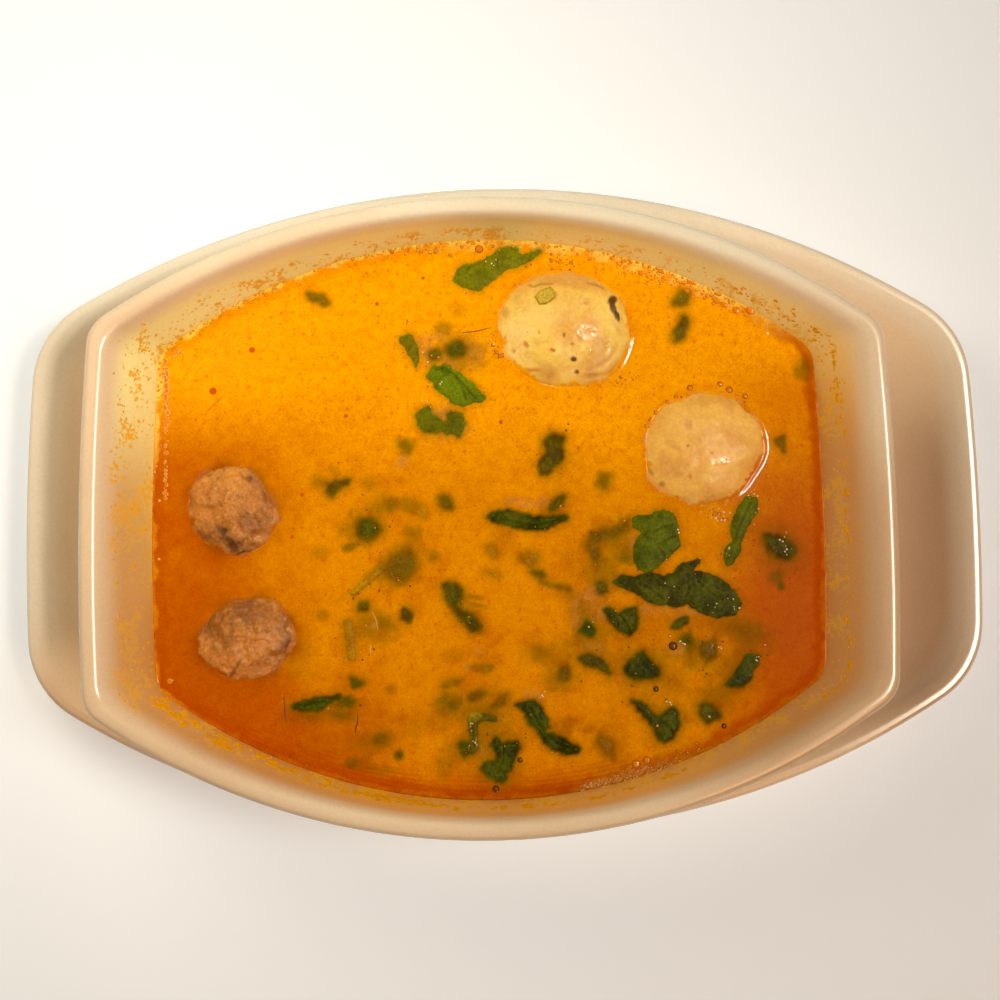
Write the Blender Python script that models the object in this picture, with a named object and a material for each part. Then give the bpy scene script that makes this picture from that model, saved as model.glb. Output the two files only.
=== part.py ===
"""Coconut soup in a barrel-shaped porcelain bowl that stands on its matching shallow tray.

The origin is under the middle of the tray, where it rests. +X runs along the length, +Y to the
far long side and +Z up. The soup fills the bowl to 12 mm under the rim and is cut round the two
fish balls and the two meatballs that float in it. Chopped herb leaves and stems lie on it, and
the smallest scraps of herb are one piece with the soup.
"""
from collections import namedtuple
from math import atan2, cos, pi, radians, sin, sqrt, tanh

import bmesh
import bpy
from mathutils import Vector, noise

MM = 0.001

# Bowl: half sizes of the rim's outline, then heights over the bowl's own foot
BOWL_HALF_LENGTH = 100.0 * MM
BOWL_HALF_WIDTH = 78.8 * MM
BOWL_END_HALF_WIDTH = 46.2 * MM
BOWL_END_BOW = 1.5 * MM
BOWL_CORNER_RADIUS = 9.0 * MM
BOWL_HEIGHT = 48.0 * MM
BOWL_FLOOR = 6.0 * MM
LIP_WIDTH = 5.0 * MM
LIP_DROP = 1.2 * MM
END_FLARE = 41.0 * MM
SIDE_FLARE = 32.0 * MM
SIDE_FLARE_POWER = 1.7
FLOOR_BLEND = 10.0 * MM
END_WALL = 5.8 * MM
SIDE_WALL = 4.6 * MM
BOWL_SHIFT = (-6.8 * MM, -4.7 * MM)

# Bowl sections in mm: half length, half width and height up the foot; inset and height round the
# lip. Then shares of the height up the outer and the inner wall.
FOOT_SECTIONS = [(48.0, 35.0, 1.5), (49.4, 36.4, 0.0), (53.4, 40.4, 0.0), (54.4, 41.4, 0.7),
                 (55.0, 42.0, 3.2)]
LIP_SECTIONS = [(2.6, 44.6), (0.5, 45.2), (0.0, 46.4), (0.6, 47.6), (2.0, 48.0), (3.8, 47.7)]
OUTER_SHARES = (0.0, 0.18, 0.42, 0.66, 0.88)
INNER_SHARES = (-0.14, 0.0, 0.14, 0.3, 0.45, 0.6)
UPPER_SHARES = (0.88, 1.0)

# Tray: half sizes of its outline, then heights over the surface it rests on
TRAY_HALF_LENGTH = 129.4 * MM
TRAY_HALF_WIDTH = 87.7 * MM
TRAY_END_HALF_WIDTH = 47.3 * MM
TRAY_END_BOW = 1.7 * MM
TRAY_CORNER_RADIUS = 25.0 * MM
TRAY_FLOOR = 7.0 * MM

# Tray sections in mm: half length, half width and height, from under the foot over the rim to
# the well
TRAY_SECTIONS = [
    (86.4, 48.4, 1.8), (88.0, 50.0, 0.0), (94.0, 56.0, 0.0), (95.4, 57.4, 0.8), (97.0, 59.0, 3.2),
    (112.0, 71.5, 8.6), (123.6, 82.2, 14.8), (128.4, 86.7, 17.8), (129.4, 87.7, 19.0),
    (128.7, 87.0, 20.0), (126.8, 85.2, 20.2), (124.8, 83.3, 19.6), (123.4, 82.1, 17.2),
    (118.0, 77.0, 14.0), (110.0, 69.6, 10.4), (101.0, 61.6, 7.8), (92.0, 53.6, TRAY_FLOOR / MM),
]

# Soup
SOUP_DEPTH_BELOW_RIM = 12.0 * MM
MENISCUS_HEIGHT = 0.5 * MM
MENISCUS_WIDTH = 2.5 * MM
MENISCUS_BEND = 0.3
GAP = 0.3 * MM
WALL_GAP = 0.45 * MM
POCKET_GAP = 0.95 * MM

# Levels in the part's frame
BOWL_BASE = TRAY_FLOOR + GAP
RIM_LEVEL = BOWL_BASE + BOWL_HEIGHT
SOUP_LEVEL = RIM_LEVEL - SOUP_DEPTH_BELOW_RIM

# Points in one quarter of an outline: end arc, rounded corner, side arc
END_STEPS, CORNER_STEPS, SIDE_STEPS = 2, 5, 8

BALL_SEGMENTS, BALL_RINGS = 22, 12
POCKET_SEGMENTS, POCKET_RINGS = 18, 10
LEAF_THICKNESS = 0.4 * MM
LEAF_LIFT = 0.35 * MM
LEAF_STEP = 1.7
WIDE_LEAF = 5.8
FLECK_SIDES = 6
FLECK_RISE = 0.35 * MM

Ball = namedtuple("Ball", "name x y half_length half_width turn height depth underside "
                          "lump corner seed")
Leaf = namedtuple("Leaf", "name x y length width heading form bend")
Fleck = namedtuple("Fleck", "x y length width heading")

# Balls in mm: name, x, y, half length, half width, turn in degrees, height over the soup,
# depth of the widest section, depth of the underside, lump size as a share, corners, seed
BALLS = [
    Ball("fish_ball_1", 12.4, 42.7, 18.2, 16.2, -12, 5.4, 3.0, 12.5, 0.035, 0.012, 3.1),
    Ball("fish_ball_2", 47.2, 11.7, 16.6, 15.4, 20, 4.6, 3.0, 14.0, 0.045, 0.022, 8.4),
    Ball("meatball_1", -72.0, -3.0, 13.0, 11.4, -52, 3.0, 2.5, 9.0, 0.10, 0.020, 14.2),
    Ball("meatball_2", -67.8, -34.4, 13.6, 11.2, 8, 3.0, 2.5, 9.0, 0.10, 0.020, 21.7),
]
STEM_SLICE = (7.4, 50.6, 2.4, 1.8)
SLICE_HEIGHT_SHARE = 0.86
SLICE_HALF_THICKNESS = 1.0
SLICE_SINK = 0.6

# Herbs in mm: name, x, y, length, width, heading in degrees, form, bend in degrees
LEAVES = [
    Leaf("leaf_top", -4.6, 58.6, 22.0, 7.6, 21, "lobed", 12),
    Leaf("leaf_cut", -16.0, 28.3, 14.5, 6.2, -42, "cut", 6),
    Leaf("leaf_pair", -19.2, 18.6, 12.0, 7.4, 4, "double", -14),
    Leaf("leaf_sliver", -27.6, 36.9, 8.0, 2.2, -62, "strip", 10),
    Leaf("leaf_hook", -46.2, 2.9, 8.6, 4.0, 25, "blade", 24),
    Leaf("leaf_oval", -38.1, -8.6, 8.6, 5.4, -4, "blade", 6),
    Leaf("leaf_pale", -29.6, -15.8, 8.6, 6.6, 62, "fan", 0),
    Leaf("leaf_middle", -15.5, -28.4, 15.0, 5.0, -57, "double", 10),
    Leaf("leaf_upright", 8.1, 10.6, 11.8, 4.6, 68, "lobed", -8),
    Leaf("leaf_bar", 2.0, -5.8, 20.0, 4.4, -2, "blade", 13),
    Leaf("leaf_arch", 18.8, -12.6, 13.0, 2.6, 52, "strip", -48),
    Leaf("leaf_broad", 34.6, -9.6, 15.0, 13.0, 66, "fan", 0),
    Leaf("leaf_great", 41.4, -25.6, 32.5, 10.0, -12, "lobed", 5),
    Leaf("leaf_spoon", 56.4, -10.6, 17.0, 5.0, 69, "spoon", 4),
    Leaf("leaf_right", 67.0, -13.6, 9.4, 7.0, -42, "lobed", 0),
    Leaf("leaf_vee", 25.6, -33.2, 14.5, 4.4, 10, "vee", 62),
    Leaf("leaf_wedge", 29.8, -43.4, 9.0, 6.8, 24, "wedge", 0),
    Leaf("leaf_thin", 18.4, -43.0, 9.4, 3.2, -28, "blade", 8),
    Leaf("leaf_low_vee", 33.8, -57.6, 20.0, 4.8, 0, "vee", 56),
    Leaf("leaf_right_low", 55.2, -44.7, 12.4, 4.4, 48, "blade", -6),
    Leaf("leaf_olive", 47.3, -39.2, 8.8, 5.8, -20, "lobed", 0),
    Leaf("leaf_left_low", -51.3, -51.1, 12.6, 3.8, 13, "blade", 6),
    Leaf("leaf_long", 7.0, -57.4, 18.6, 6.2, -43, "double", 6),
    Leaf("leaf_front", -6.0, -65.4, 11.5, 9.0, 112, "fan", 0),
    Leaf("stem_left", -38.9, -21.6, 10.5, 1.9, 45, "strip", 4),
    Leaf("stem_upright", -42.7, -35.4, 10.5, 2.0, 87, "strip", -4),
    Leaf("stem_front", -12.4, -57.0, 9.0, 2.0, -84, "strip", 10),
]

# Herb scraps in mm: x, y, length, width, heading in degrees
FLECKS = [Fleck(*row) for row in (
    (-15.2, 37.6, 6.2, 5.0, 10), (-21.2, 36.4, 3.6, 3.0, 60), (12.6, -0.6, 6.0, 2.2, 50),
    (8.4, -22.8, 8.0, 2.4, -18), (-19.4, -1.8, 4.6, 3.2, -40), (20.4, -23.2, 5.0, 3.4, -70),
    (-28.3, -29.4, 5.4, 3.2, -65), (20.3, -61.4, 6.6, 4.8, 80), (48.2, -54.9, 6.6, 4.8, -20),
    (15.6, -34.8, 5.2, 4.8, 20), (43.3, 51.2, 5.0, 4.2, 30), (42.6, 42.6, 7.2, 3.8, 80),
    (-51.2, 51.0, 7.6, 3.2, -18), (-41.4, -46.0, 4.6, 4.0, -10), (37.6, -35.0, 4.6, 3.0, 30),
    (-17.0, -61.0, 4.4, 3.4, -15), (-17.6, -45.2, 6.2, 1.8, 12), (-9.8, -43.0, 6.4, 2.2, -6),
    (-4.6, -51.0, 6.2, 1.9, 42), (-18.2, -52.4, 4.8, 2.8, 84), (-7.2, -14.2, 4.2, 2.4, -50),
    (-7.0, -20.0, 4.2, 2.2, -20), (2.5, -15.9, 4.6, 3.6, 10), (9.2, -45.4, 4.8, 2.4, 75),
    (-34.6, -1.0, 3.6, 3.0, 30), (-27.0, -2.6, 3.8, 3.2, 0), (66.8, 12.6, 4.6, 3.0, -60),
    (-5.0, -34.6, 3.4, 2.4, 35), (-29.4, -62.4, 4.0, 2.6, 15), (-54.8, 24.2, 3.0, 1.6, 40),
)]


def material(name, red, green, blue, roughness):
    """Principled material from 0-255 screen colours."""
    made = bpy.data.materials.new(name)
    made.use_nodes = True
    shader = made.node_tree.nodes["Principled BSDF"]
    linear = [(value / 255.0) ** 2.2 for value in (red, green, blue)]
    shader.inputs["Base Color"].default_value = (*linear, 1.0)
    shader.inputs["Roughness"].default_value = roughness
    shader.inputs["Metallic"].default_value = 0.0
    made.diffuse_color = (*linear, 1.0)
    return made


def add_object(name, mesh_data, finish):
    """Put a bmesh into the scene as one smooth-shaded object."""
    bmesh.ops.recalc_face_normals(mesh_data, faces=mesh_data.faces)
    mesh = bpy.data.meshes.new(name)
    mesh_data.to_mesh(mesh)
    mesh_data.free()
    mesh.shade_smooth()
    mesh.set_sharp_from_angle(angle=radians(35))
    mesh.materials.append(finish)
    made = bpy.data.objects.new(name, mesh)
    bpy.context.collection.objects.link(made)
    return made


# ---------------------------------------------------------------- outlines

def quarter_outline(half_length, half_width, end_half_width, end_bow, corner_radius):
    """Points of the +X +Y quarter: bowed end, rounded corner, bowed long side."""
    rise = half_width - end_half_width
    run = half_length - end_bow
    side_radius = (run * run + rise * rise) / (2.0 * rise)
    end_radius = (end_half_width ** 2 + end_bow ** 2) / (2.0 * end_bow)
    side_centre = Vector((0.0, half_width - side_radius))
    end_centre = Vector((half_length - end_radius, 0.0))
    corner = circle_crossing(side_centre, side_radius - corner_radius,
                             end_centre, end_radius - corner_radius)
    end_stop = atan2(corner.y - end_centre.y, corner.x - end_centre.x)
    side_start = atan2(corner.y - side_centre.y, corner.x - side_centre.x)
    points = arc(end_centre, end_radius, 0.0, end_stop, END_STEPS)
    points += arc(corner, corner_radius, end_stop, side_start, CORNER_STEPS)
    points += arc(side_centre, side_radius, side_start, pi / 2.0, SIDE_STEPS)
    return points + [Vector((0.0, half_width))]


def arc(centre, radius, start, stop, steps):
    """Points along an arc, without its last one."""
    turn = (stop - start) / steps
    return [centre + radius * Vector((cos(start + turn * i), sin(start + turn * i)))
            for i in range(steps)]


def circle_crossing(first, first_radius, second, second_radius):
    """Crossing of two circles on the +X +Y side."""
    span = second - first
    distance = span.length
    along = (distance ** 2 + first_radius ** 2 - second_radius ** 2) / (2.0 * distance)
    across = sqrt(first_radius ** 2 - along ** 2)
    ahead = span / distance
    foot = first + along * ahead
    side = Vector((-ahead.y, ahead.x))
    return max((foot + across * side, foot - across * side), key=lambda point: point.y)


def full_outline(quarter):
    """Mirror a quarter to the closed outline, anticlockwise from +X."""
    second = [Vector((-p.x, p.y)) for p in reversed(quarter[:-1])]
    third = [Vector((-p.x, -p.y)) for p in quarter[1:]]
    fourth = [Vector((p.x, -p.y)) for p in reversed(quarter[1:-1])]
    return quarter + second + third + fourth


def bowl_outline():
    """Outline of the bowl's rim as shares of its half length and half width."""
    quarter = quarter_outline(BOWL_HALF_LENGTH, BOWL_HALF_WIDTH, BOWL_END_HALF_WIDTH,
                              BOWL_END_BOW, BOWL_CORNER_RADIUS)
    return [(p.x / BOWL_HALF_LENGTH, p.y / BOWL_HALF_WIDTH) for p in full_outline(quarter)]


def tray_outline():
    """Outline of the tray as shares of its half length and half width."""
    quarter = quarter_outline(TRAY_HALF_LENGTH, TRAY_HALF_WIDTH, TRAY_END_HALF_WIDTH,
                              TRAY_END_BOW, TRAY_CORNER_RADIUS)
    return [(p.x / TRAY_HALF_LENGTH, p.y / TRAY_HALF_WIDTH) for p in full_outline(quarter)]


def solid_from_rings(outline, rings, shift):
    """Closed body through rings of (half length, half width, height), capped at both ends."""
    body = bmesh.new()
    loops = []
    for half_length, half_width, height in rings:
        loops.append([body.verts.new((shift[0] + half_length * x, shift[1] + half_width * y, height))
                      for x, y in outline])
    count = len(outline)
    for lower, upper in zip(loops, loops[1:]):
        for i in range(count):
            j = (i + 1) % count
            body.faces.new((lower[i], lower[j], upper[j], upper[i]))
    body.faces.new(list(reversed(loops[0])))
    body.faces.new(loops[-1])
    return body


# ---------------------------------------------------------------- bowl, tray and soup

def soft_max(first, second, blend):
    """Larger of two heights, rounded where they meet."""
    overlap = max(blend - abs(first - second), 0.0)
    return max(first, second) + overlap * overlap / (4.0 * blend)


def wall_ring(share):
    """Inner wall at a share of the way from the floor to the lip: half sizes and height."""
    rise = BOWL_HEIGHT - LIP_DROP - BOWL_FLOOR
    height = soft_max(BOWL_FLOOR + rise * share, BOWL_FLOOR, FLOOR_BLEND)
    half_length = BOWL_HALF_LENGTH - LIP_WIDTH - END_FLARE * (1.0 - share)
    half_width = BOWL_HALF_WIDTH - LIP_WIDTH - SIDE_FLARE * (1.0 - share) ** SIDE_FLARE_POWER
    return half_length, half_width, height


def level_share():
    """Share of the inner wall's height that the soup's edge reaches."""
    rise = BOWL_HEIGHT - LIP_DROP - BOWL_FLOOR
    return (SOUP_LEVEL + MENISCUS_HEIGHT - BOWL_BASE - BOWL_FLOOR) / rise


def outer_ring(share):
    """Outer wall beside the inner wall's straight run."""
    half_length, half_width, _ = wall_ring(share)
    rise = BOWL_HEIGHT - LIP_DROP - BOWL_FLOOR
    return half_length + END_WALL, half_width + SIDE_WALL, BOWL_FLOOR + rise * share


def bowl_rings():
    """Rings from the foot's recess, up the outside, over the lip and down to the inner floor."""
    rings = [(length * MM, width * MM, height * MM) for length, width, height in FOOT_SECTIONS]
    rings += [outer_ring(share) for share in OUTER_SHARES]
    rings += [(BOWL_HALF_LENGTH - inset * MM, BOWL_HALF_WIDTH - inset * MM, height * MM)
              for inset, height in LIP_SECTIONS]
    inner = (*INNER_SHARES, level_share(), *UPPER_SHARES)
    rings += [wall_ring(share) for share in reversed(inner)]
    return [(length, width, BOWL_BASE + height) for length, width, height in rings]


def make_bowl(porcelain):
    add_object("bowl", solid_from_rings(bowl_outline(), bowl_rings(), BOWL_SHIFT), porcelain)


def tray_rings():
    """Rings from the foot's recess, up the outside and down to the well."""
    return [(length * MM, width * MM, height * MM) for length, width, height in TRAY_SECTIONS]


def make_tray(porcelain):
    add_object("tray", solid_from_rings(tray_outline(), tray_rings(), (0.0, 0.0)), porcelain)


def soup_rings():
    """Rings up the inner wall, then over the meniscus to the level surface."""
    rings = []
    for share in (*INNER_SHARES, level_share()):
        half_length, half_width, height = wall_ring(share)
        lift = WALL_GAP * max(0.0, 1.0 - share / INNER_SHARES[-1])
        rings.append((half_length - WALL_GAP, half_width - WALL_GAP, BOWL_BASE + height + lift))
    edge_length, edge_width, _ = rings[-1]
    for inset, rise in ((MENISCUS_BEND, MENISCUS_BEND), (1.0, 0.0)):
        rings.append((edge_length - inset * MENISCUS_WIDTH, edge_width - inset * MENISCUS_WIDTH,
                      SOUP_LEVEL + rise * MENISCUS_HEIGHT))
    return rings


def apply_boolean(body, operation, tool=None, collection=None):
    """Apply one exact Boolean and remove the objects it used."""
    modifier = body.modifiers.new(operation.lower(), "BOOLEAN")
    modifier.operation = operation
    modifier.solver = "EXACT"
    if tool is not None:
        modifier.object = tool
    else:
        modifier.operand_type = "COLLECTION"
        modifier.collection = collection
    bpy.context.view_layer.update()
    evaluated = body.evaluated_get(bpy.context.evaluated_depsgraph_get())
    result = bpy.data.meshes.new_from_object(evaluated)
    body.modifiers.clear()
    before = body.data
    body.data = result
    bpy.data.meshes.remove(before)
    used = [tool] if tool is not None else list(collection.objects)
    for spent in used:
        bpy.data.objects.remove(spent)


def make_soup(soup_finish, herb_finish):
    """Soup with a pocket round each ball and the herb scraps fused on."""
    body = solid_from_rings(bowl_outline(), soup_rings(), BOWL_SHIFT)
    soup = add_object("soup", body, soup_finish)
    scraps = bpy.data.collections.new("scraps")
    bpy.context.scene.collection.children.link(scraps)
    for number, fleck in enumerate(FLECKS):
        scrap = add_object("scrap", fleck_mesh(fleck, number), herb_finish)
        bpy.context.collection.objects.unlink(scrap)
        scraps.objects.link(scrap)
    apply_boolean(soup, "UNION", collection=scraps)
    bpy.data.collections.remove(scraps)
    for ball in BALLS:
        cutter = ball_mesh(ball, POCKET_SEGMENTS, POCKET_RINGS, POCKET_GAP)
        pocket = add_object("pocket", cutter, soup_finish)
        apply_boolean(soup, "DIFFERENCE", tool=pocket)


def turned(x, y, along, across, heading):
    """Point reached from (x, y) by going along and across a heading in degrees."""
    angle = radians(heading)
    return (x + along * cos(angle) - across * sin(angle),
            y + along * sin(angle) + across * cos(angle))


def fleck_mesh(fleck, number):
    """Small uneven scrap that stands a little out of the soup."""
    body = bmesh.new()
    corners = []
    for i in range(FLECK_SIDES):
        angle = 2.0 * pi * i / FLECK_SIDES + 0.35 * sin(2.3 * number + i)
        reach = 1.0 + 0.16 * sin(1.7 * number + 2.6 * i)
        corners.append(turned(fleck.x, fleck.y, 0.5 * fleck.length * reach * cos(angle),
                              0.5 * fleck.width * reach * sin(angle), fleck.heading))
    low = [body.verts.new((x * MM, y * MM, SOUP_LEVEL - 2.0 * FLECK_RISE)) for x, y in corners]
    high = [body.verts.new((x * MM, y * MM, SOUP_LEVEL + FLECK_RISE)) for x, y in corners]
    for i in range(FLECK_SIDES):
        j = (i + 1) % FLECK_SIDES
        body.faces.new((low[i], low[j], high[j], high[i]))
    body.faces.new(list(reversed(low)))
    body.faces.new(high)
    return body


# ---------------------------------------------------------------- balls

def ball_mesh(ball, segments, rings, grow):
    """Lumpy ball, flatter above its widest section than below it."""
    body = bmesh.new()
    loops = []
    for i in range(1, rings):
        polar = pi * i / rings
        loops.append([body.verts.new(ball_point(ball, polar, 2.0 * pi * j / segments, grow))
                      for j in range(segments)])
    top = body.verts.new(ball_point(ball, 0.0, 0.0, grow))
    bottom = body.verts.new(ball_point(ball, pi, 0.0, grow))
    for j in range(segments):
        k = (j + 1) % segments
        body.faces.new((top, loops[0][j], loops[0][k]))
        body.faces.new((bottom, loops[-1][k], loops[-1][j]))
        for upper, lower in zip(loops, loops[1:]):
            body.faces.new((upper[j], lower[j], lower[k], upper[k]))
    return body


def ball_point(ball, polar, around, grow):
    """One point of a ball's surface, or of a surface that lies `grow` outside it."""
    flat = sin(polar)
    up = cos(polar)
    ray = Vector((flat * cos(around), flat * sin(around), up))
    swell = ball.lump * noise.noise(ray * 1.9 + Vector((ball.seed, ball.seed, ball.seed)))
    swell += ball.corner * flat * cos(5.0 * around + ball.seed)
    factor = 1.0 + min(1.0, 2.5 * flat) * swell
    reach = ball.height + ball.depth if up > 0.0 else ball.underside - ball.depth
    x, y = turned(ball.x, ball.y, (ball.half_length * factor + grow / MM) * ray.x,
                  (ball.half_width * factor + grow / MM) * ray.y, ball.turn)
    rise = (reach * factor + grow / MM) * up
    return (x * MM, y * MM, SOUP_LEVEL + (rise - ball.depth) * MM)


def make_balls(fish_finish, meat_finish, herb_finish):
    for ball in BALLS:
        finish = fish_finish if ball.name.startswith("fish") else meat_finish
        made = add_object(ball.name, ball_mesh(ball, BALL_SEGMENTS, BALL_RINGS, 0.0), finish)
        if ball.name == "fish_ball_1":
            add_stem_slice(made, ball, herb_finish)


def add_stem_slice(made, ball, herb_finish):
    """Short slice of herb stem stuck to the first fish ball."""
    x, y, half_length, half_width = STEM_SLICE
    body = bmesh.new()
    bmesh.ops.create_cone(body, cap_ends=True, segments=8, radius1=1.0, radius2=0.94, depth=2.0)
    middle = SLICE_HEIGHT_SHARE * ball.height - SLICE_SINK
    for vert in body.verts:
        vert.co = Vector(((x + half_length * vert.co.x) * MM, (y + half_width * vert.co.y) * MM,
                          SOUP_LEVEL + (middle + SLICE_HALF_THICKNESS * vert.co.z) * MM))
    stem_slice = add_object("slice", body, herb_finish)
    apply_boolean(made, "UNION", tool=stem_slice)


# ---------------------------------------------------------------- herbs

def half_width_share(form, t):
    """Half width of a leaf as a share of its widest, for t from -1 at the stalk to 1 at the tip."""
    edge = 1.0 - t * t
    if form == "blade":
        share = edge ** 0.75
    elif form == "lobed":
        share = edge ** 0.45 * (0.76 + 0.24 * cos(3.3 * pi * t + 0.4))
    elif form == "cut":
        share = (1.0 - abs(t) ** 9) ** 0.5
    elif form == "double":
        share = (1.0 - t ** 4) ** 0.5 * (0.42 + 0.58 * sin(pi * abs(t)) ** 2)
    elif form == "fan":
        share = edge ** 0.5 * (0.80 + 0.20 * cos(4.0 * pi * t))
    elif form == "wedge":
        share = (0.2 + 0.4 * (t + 1.0)) * (1.0 - abs(t) ** 8) ** 0.5
    elif form == "spoon":
        share = (1.0 - abs(t) ** 5) ** 0.5 * (0.66 + 0.34 * tanh(4.0 * (t + 0.35)))
    elif form == "vee":
        share = (1.0 - t ** 4) ** 0.5 * (0.66 + 0.34 * sin(pi * abs(t)))
    else:
        share = (1.0 - abs(t) ** 8) ** 0.5
    return max(share, 0.14)


def spine(leaf, steps):
    """Points and directions along the middle of a leaf, with their mean at its place."""
    directions = []
    for i in range(steps + 1):
        t = 2.0 * i / steps - 1.0
        turn = tanh(5.0 * t) if leaf.form == "vee" else t
        angle = radians(leaf.heading + leaf.bend * turn)
        directions.append(Vector((cos(angle), sin(angle))))
    points = [Vector((0.0, 0.0))]
    for before, after in zip(directions, directions[1:]):
        points.append(points[-1] + (before + after) * (0.5 * leaf.length / steps))
    middle = sum(points, Vector((0.0, 0.0))) / len(points)
    place = Vector((leaf.x, leaf.y))
    return [place + point - middle for point in points], directions


def ripple(along, across, seed):
    """Height of a leaf's waves over its lowest point, as a share."""
    return 0.5 + 0.3 * sin(5.2 * along + seed) + 0.2 * sin(3.1 * across - 2.0 * along + 1.7 * seed)


def make_leaf(leaf, number, finish):
    """Thin wavy solid: two matching grids of triangles joined along the edge."""
    body = bmesh.new()
    lower = leaf_grid(body, leaf, number, LEAF_LIFT)
    upper = leaf_grid(body, leaf, number, LEAF_LIFT + LEAF_THICKNESS)
    for grid in (lower, upper):
        for near, far in zip(grid, grid[1:]):
            for j in range(len(near) - 1):
                body.faces.new((near[j], far[j], far[j + 1]))
                body.faces.new((near[j], far[j + 1], near[j + 1]))
    low_edge = grid_edge(lower)
    high_edge = grid_edge(upper)
    for k in range(len(low_edge)):
        m = (k + 1) % len(low_edge)
        body.faces.new((low_edge[k], low_edge[m], high_edge[m]))
        body.faces.new((low_edge[k], high_edge[m], high_edge[k]))
    add_object(leaf.name, body, finish)


def leaf_grid(body, leaf, number, lift):
    """Grid of vertices over one face of a leaf."""
    steps = max(6, round(leaf.length / LEAF_STEP))
    lanes = 4 if leaf.width >= WIDE_LEAF else 2
    wave = min(0.9, 0.05 * leaf.length + 0.04 * leaf.width)
    grid = []
    for i, (point, ahead) in enumerate(zip(*spine(leaf, steps))):
        t = 2.0 * i / steps - 1.0
        half = 0.5 * leaf.width * half_width_share(leaf.form, t)
        row = []
        for j in range(lanes + 1):
            v = 2.0 * j / lanes - 1.0
            spot = point + half * v * Vector((-ahead.y, ahead.x))
            rise = wave * (ripple(t * leaf.length / 12.0, v, number) + 0.25 * v * v)
            row.append(body.verts.new((spot.x * MM, spot.y * MM, SOUP_LEVEL + lift + rise * MM)))
        grid.append(row)
    return grid


def grid_edge(grid):
    """Outer loop of a grid of vertices."""
    edge = list(grid[0])
    edge += [row[-1] for row in grid[1:]]
    edge += list(reversed(grid[-1][:-1]))
    edge += [row[0] for row in reversed(grid[1:-1])]
    return edge


def make_herbs(leaf_finish, stem_finish):
    for number, leaf in enumerate(LEAVES):
        finish = stem_finish if leaf.name.startswith("stem") else leaf_finish
        make_leaf(leaf, number, finish)


def main():
    for existing in list(bpy.data.objects):
        bpy.data.objects.remove(existing)
    porcelain = material("porcelain", 222, 196, 158, 0.25)
    soup_finish = material("coconut_soup", 236, 142, 12, 0.22)
    fish_finish = material("fish_ball", 232, 182, 98, 0.35)
    meat_finish = material("meatball", 172, 100, 42, 0.55)
    leaf_finish = material("herb_leaf", 62, 74, 12, 0.4)
    stem_finish = material("herb_stem", 140, 118, 20, 0.4)
    make_tray(porcelain)
    make_bowl(porcelain)
    make_soup(soup_finish, leaf_finish)
    make_balls(fish_finish, meat_finish, stem_finish)
    make_herbs(leaf_finish, stem_finish)


main()
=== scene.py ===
"""Looks of a bowl of coconut soup on its tray: glazed porcelain, soup under a film of oil, four
balls, chopped herbs, bubbles and the dried splashes on the wall.

Lengths are in mm until a mesh is made. Spots named by a pixel of the 1000 x 1000 photograph lie on
the level given with them, and so do the ranges of x and y in the tints. Shades are screen colours
from 0 to 255. The whole number handed to a noise after its size is its seed.
"""
from collections import namedtuple
from math import atan2, cos, pi, radians, sin, sqrt

import bpy
import numpy as np
from mathutils import Euler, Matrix, Vector, geometry, kdtree, noise


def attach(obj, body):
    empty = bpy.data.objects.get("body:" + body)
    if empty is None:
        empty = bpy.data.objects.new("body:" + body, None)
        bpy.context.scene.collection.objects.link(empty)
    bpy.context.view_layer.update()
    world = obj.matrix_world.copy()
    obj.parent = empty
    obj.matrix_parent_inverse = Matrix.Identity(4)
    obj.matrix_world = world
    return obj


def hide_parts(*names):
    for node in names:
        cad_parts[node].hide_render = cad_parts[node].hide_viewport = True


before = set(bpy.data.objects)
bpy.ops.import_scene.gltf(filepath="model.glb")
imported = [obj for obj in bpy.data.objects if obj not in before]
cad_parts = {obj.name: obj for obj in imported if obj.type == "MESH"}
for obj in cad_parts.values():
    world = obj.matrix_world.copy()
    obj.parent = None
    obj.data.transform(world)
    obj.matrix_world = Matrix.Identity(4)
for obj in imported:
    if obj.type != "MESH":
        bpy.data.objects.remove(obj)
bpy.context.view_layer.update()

MM = 0.001

# Camera: place in mm, turn in radians, focal length and optical centre in pixels of a 1000 px frame
CAMERA_PLACE = np.array((-23.73, -29.33, 369.8))
CAMERA_TURN = (0.101, -0.060, -0.018)
FOCAL_PX = 1300.0
CENTRE_PX = (505.8, 481.6)
FRAME_PX = 1000.0
SENSOR = 36.0

# Bowl and tray, as the solids have them
BOWL_SIZE = (100.0, 78.8, 46.2, 1.5, 9.0)
BOWL_SHIFT = (-6.8, -4.7)
BOWL_BASE = 7.3
BOWL_HEIGHT = 48.0
BOWL_FLOOR = 6.0
LIP_WIDTH = 5.0
LIP_DROP = 1.2
WALL_RISE = BOWL_HEIGHT - LIP_DROP - BOWL_FLOOR
END_FLARE = 41.0
SIDE_FLARE = 32.0
SIDE_FLARE_POWER = 1.7
FLOOR_BLEND = 10.0
END_WALL = 5.8
SIDE_WALL = 4.6
WALL_FOOT = -0.14
WALL_RINGS = 70
OUTER_SHARES = (0.0, 0.18, 0.42, 0.66, 0.88)
FOOT_SECTIONS = [(48.0, 35.0, 1.5), (49.4, 36.4, 0.0), (53.4, 40.4, 0.0), (54.4, 41.4, 0.7),
                 (55.0, 42.0, 3.2)]
LIP_SECTIONS = [(2.6, 44.6), (0.5, 45.2), (0.0, 46.4), (0.6, 47.5), (2.1, 48.0), (3.7, 47.7)]
LIP_SHARE = 0.95
TRAY_SIZE = (129.4, 87.7, 47.3, 1.7, 25.0)
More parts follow.
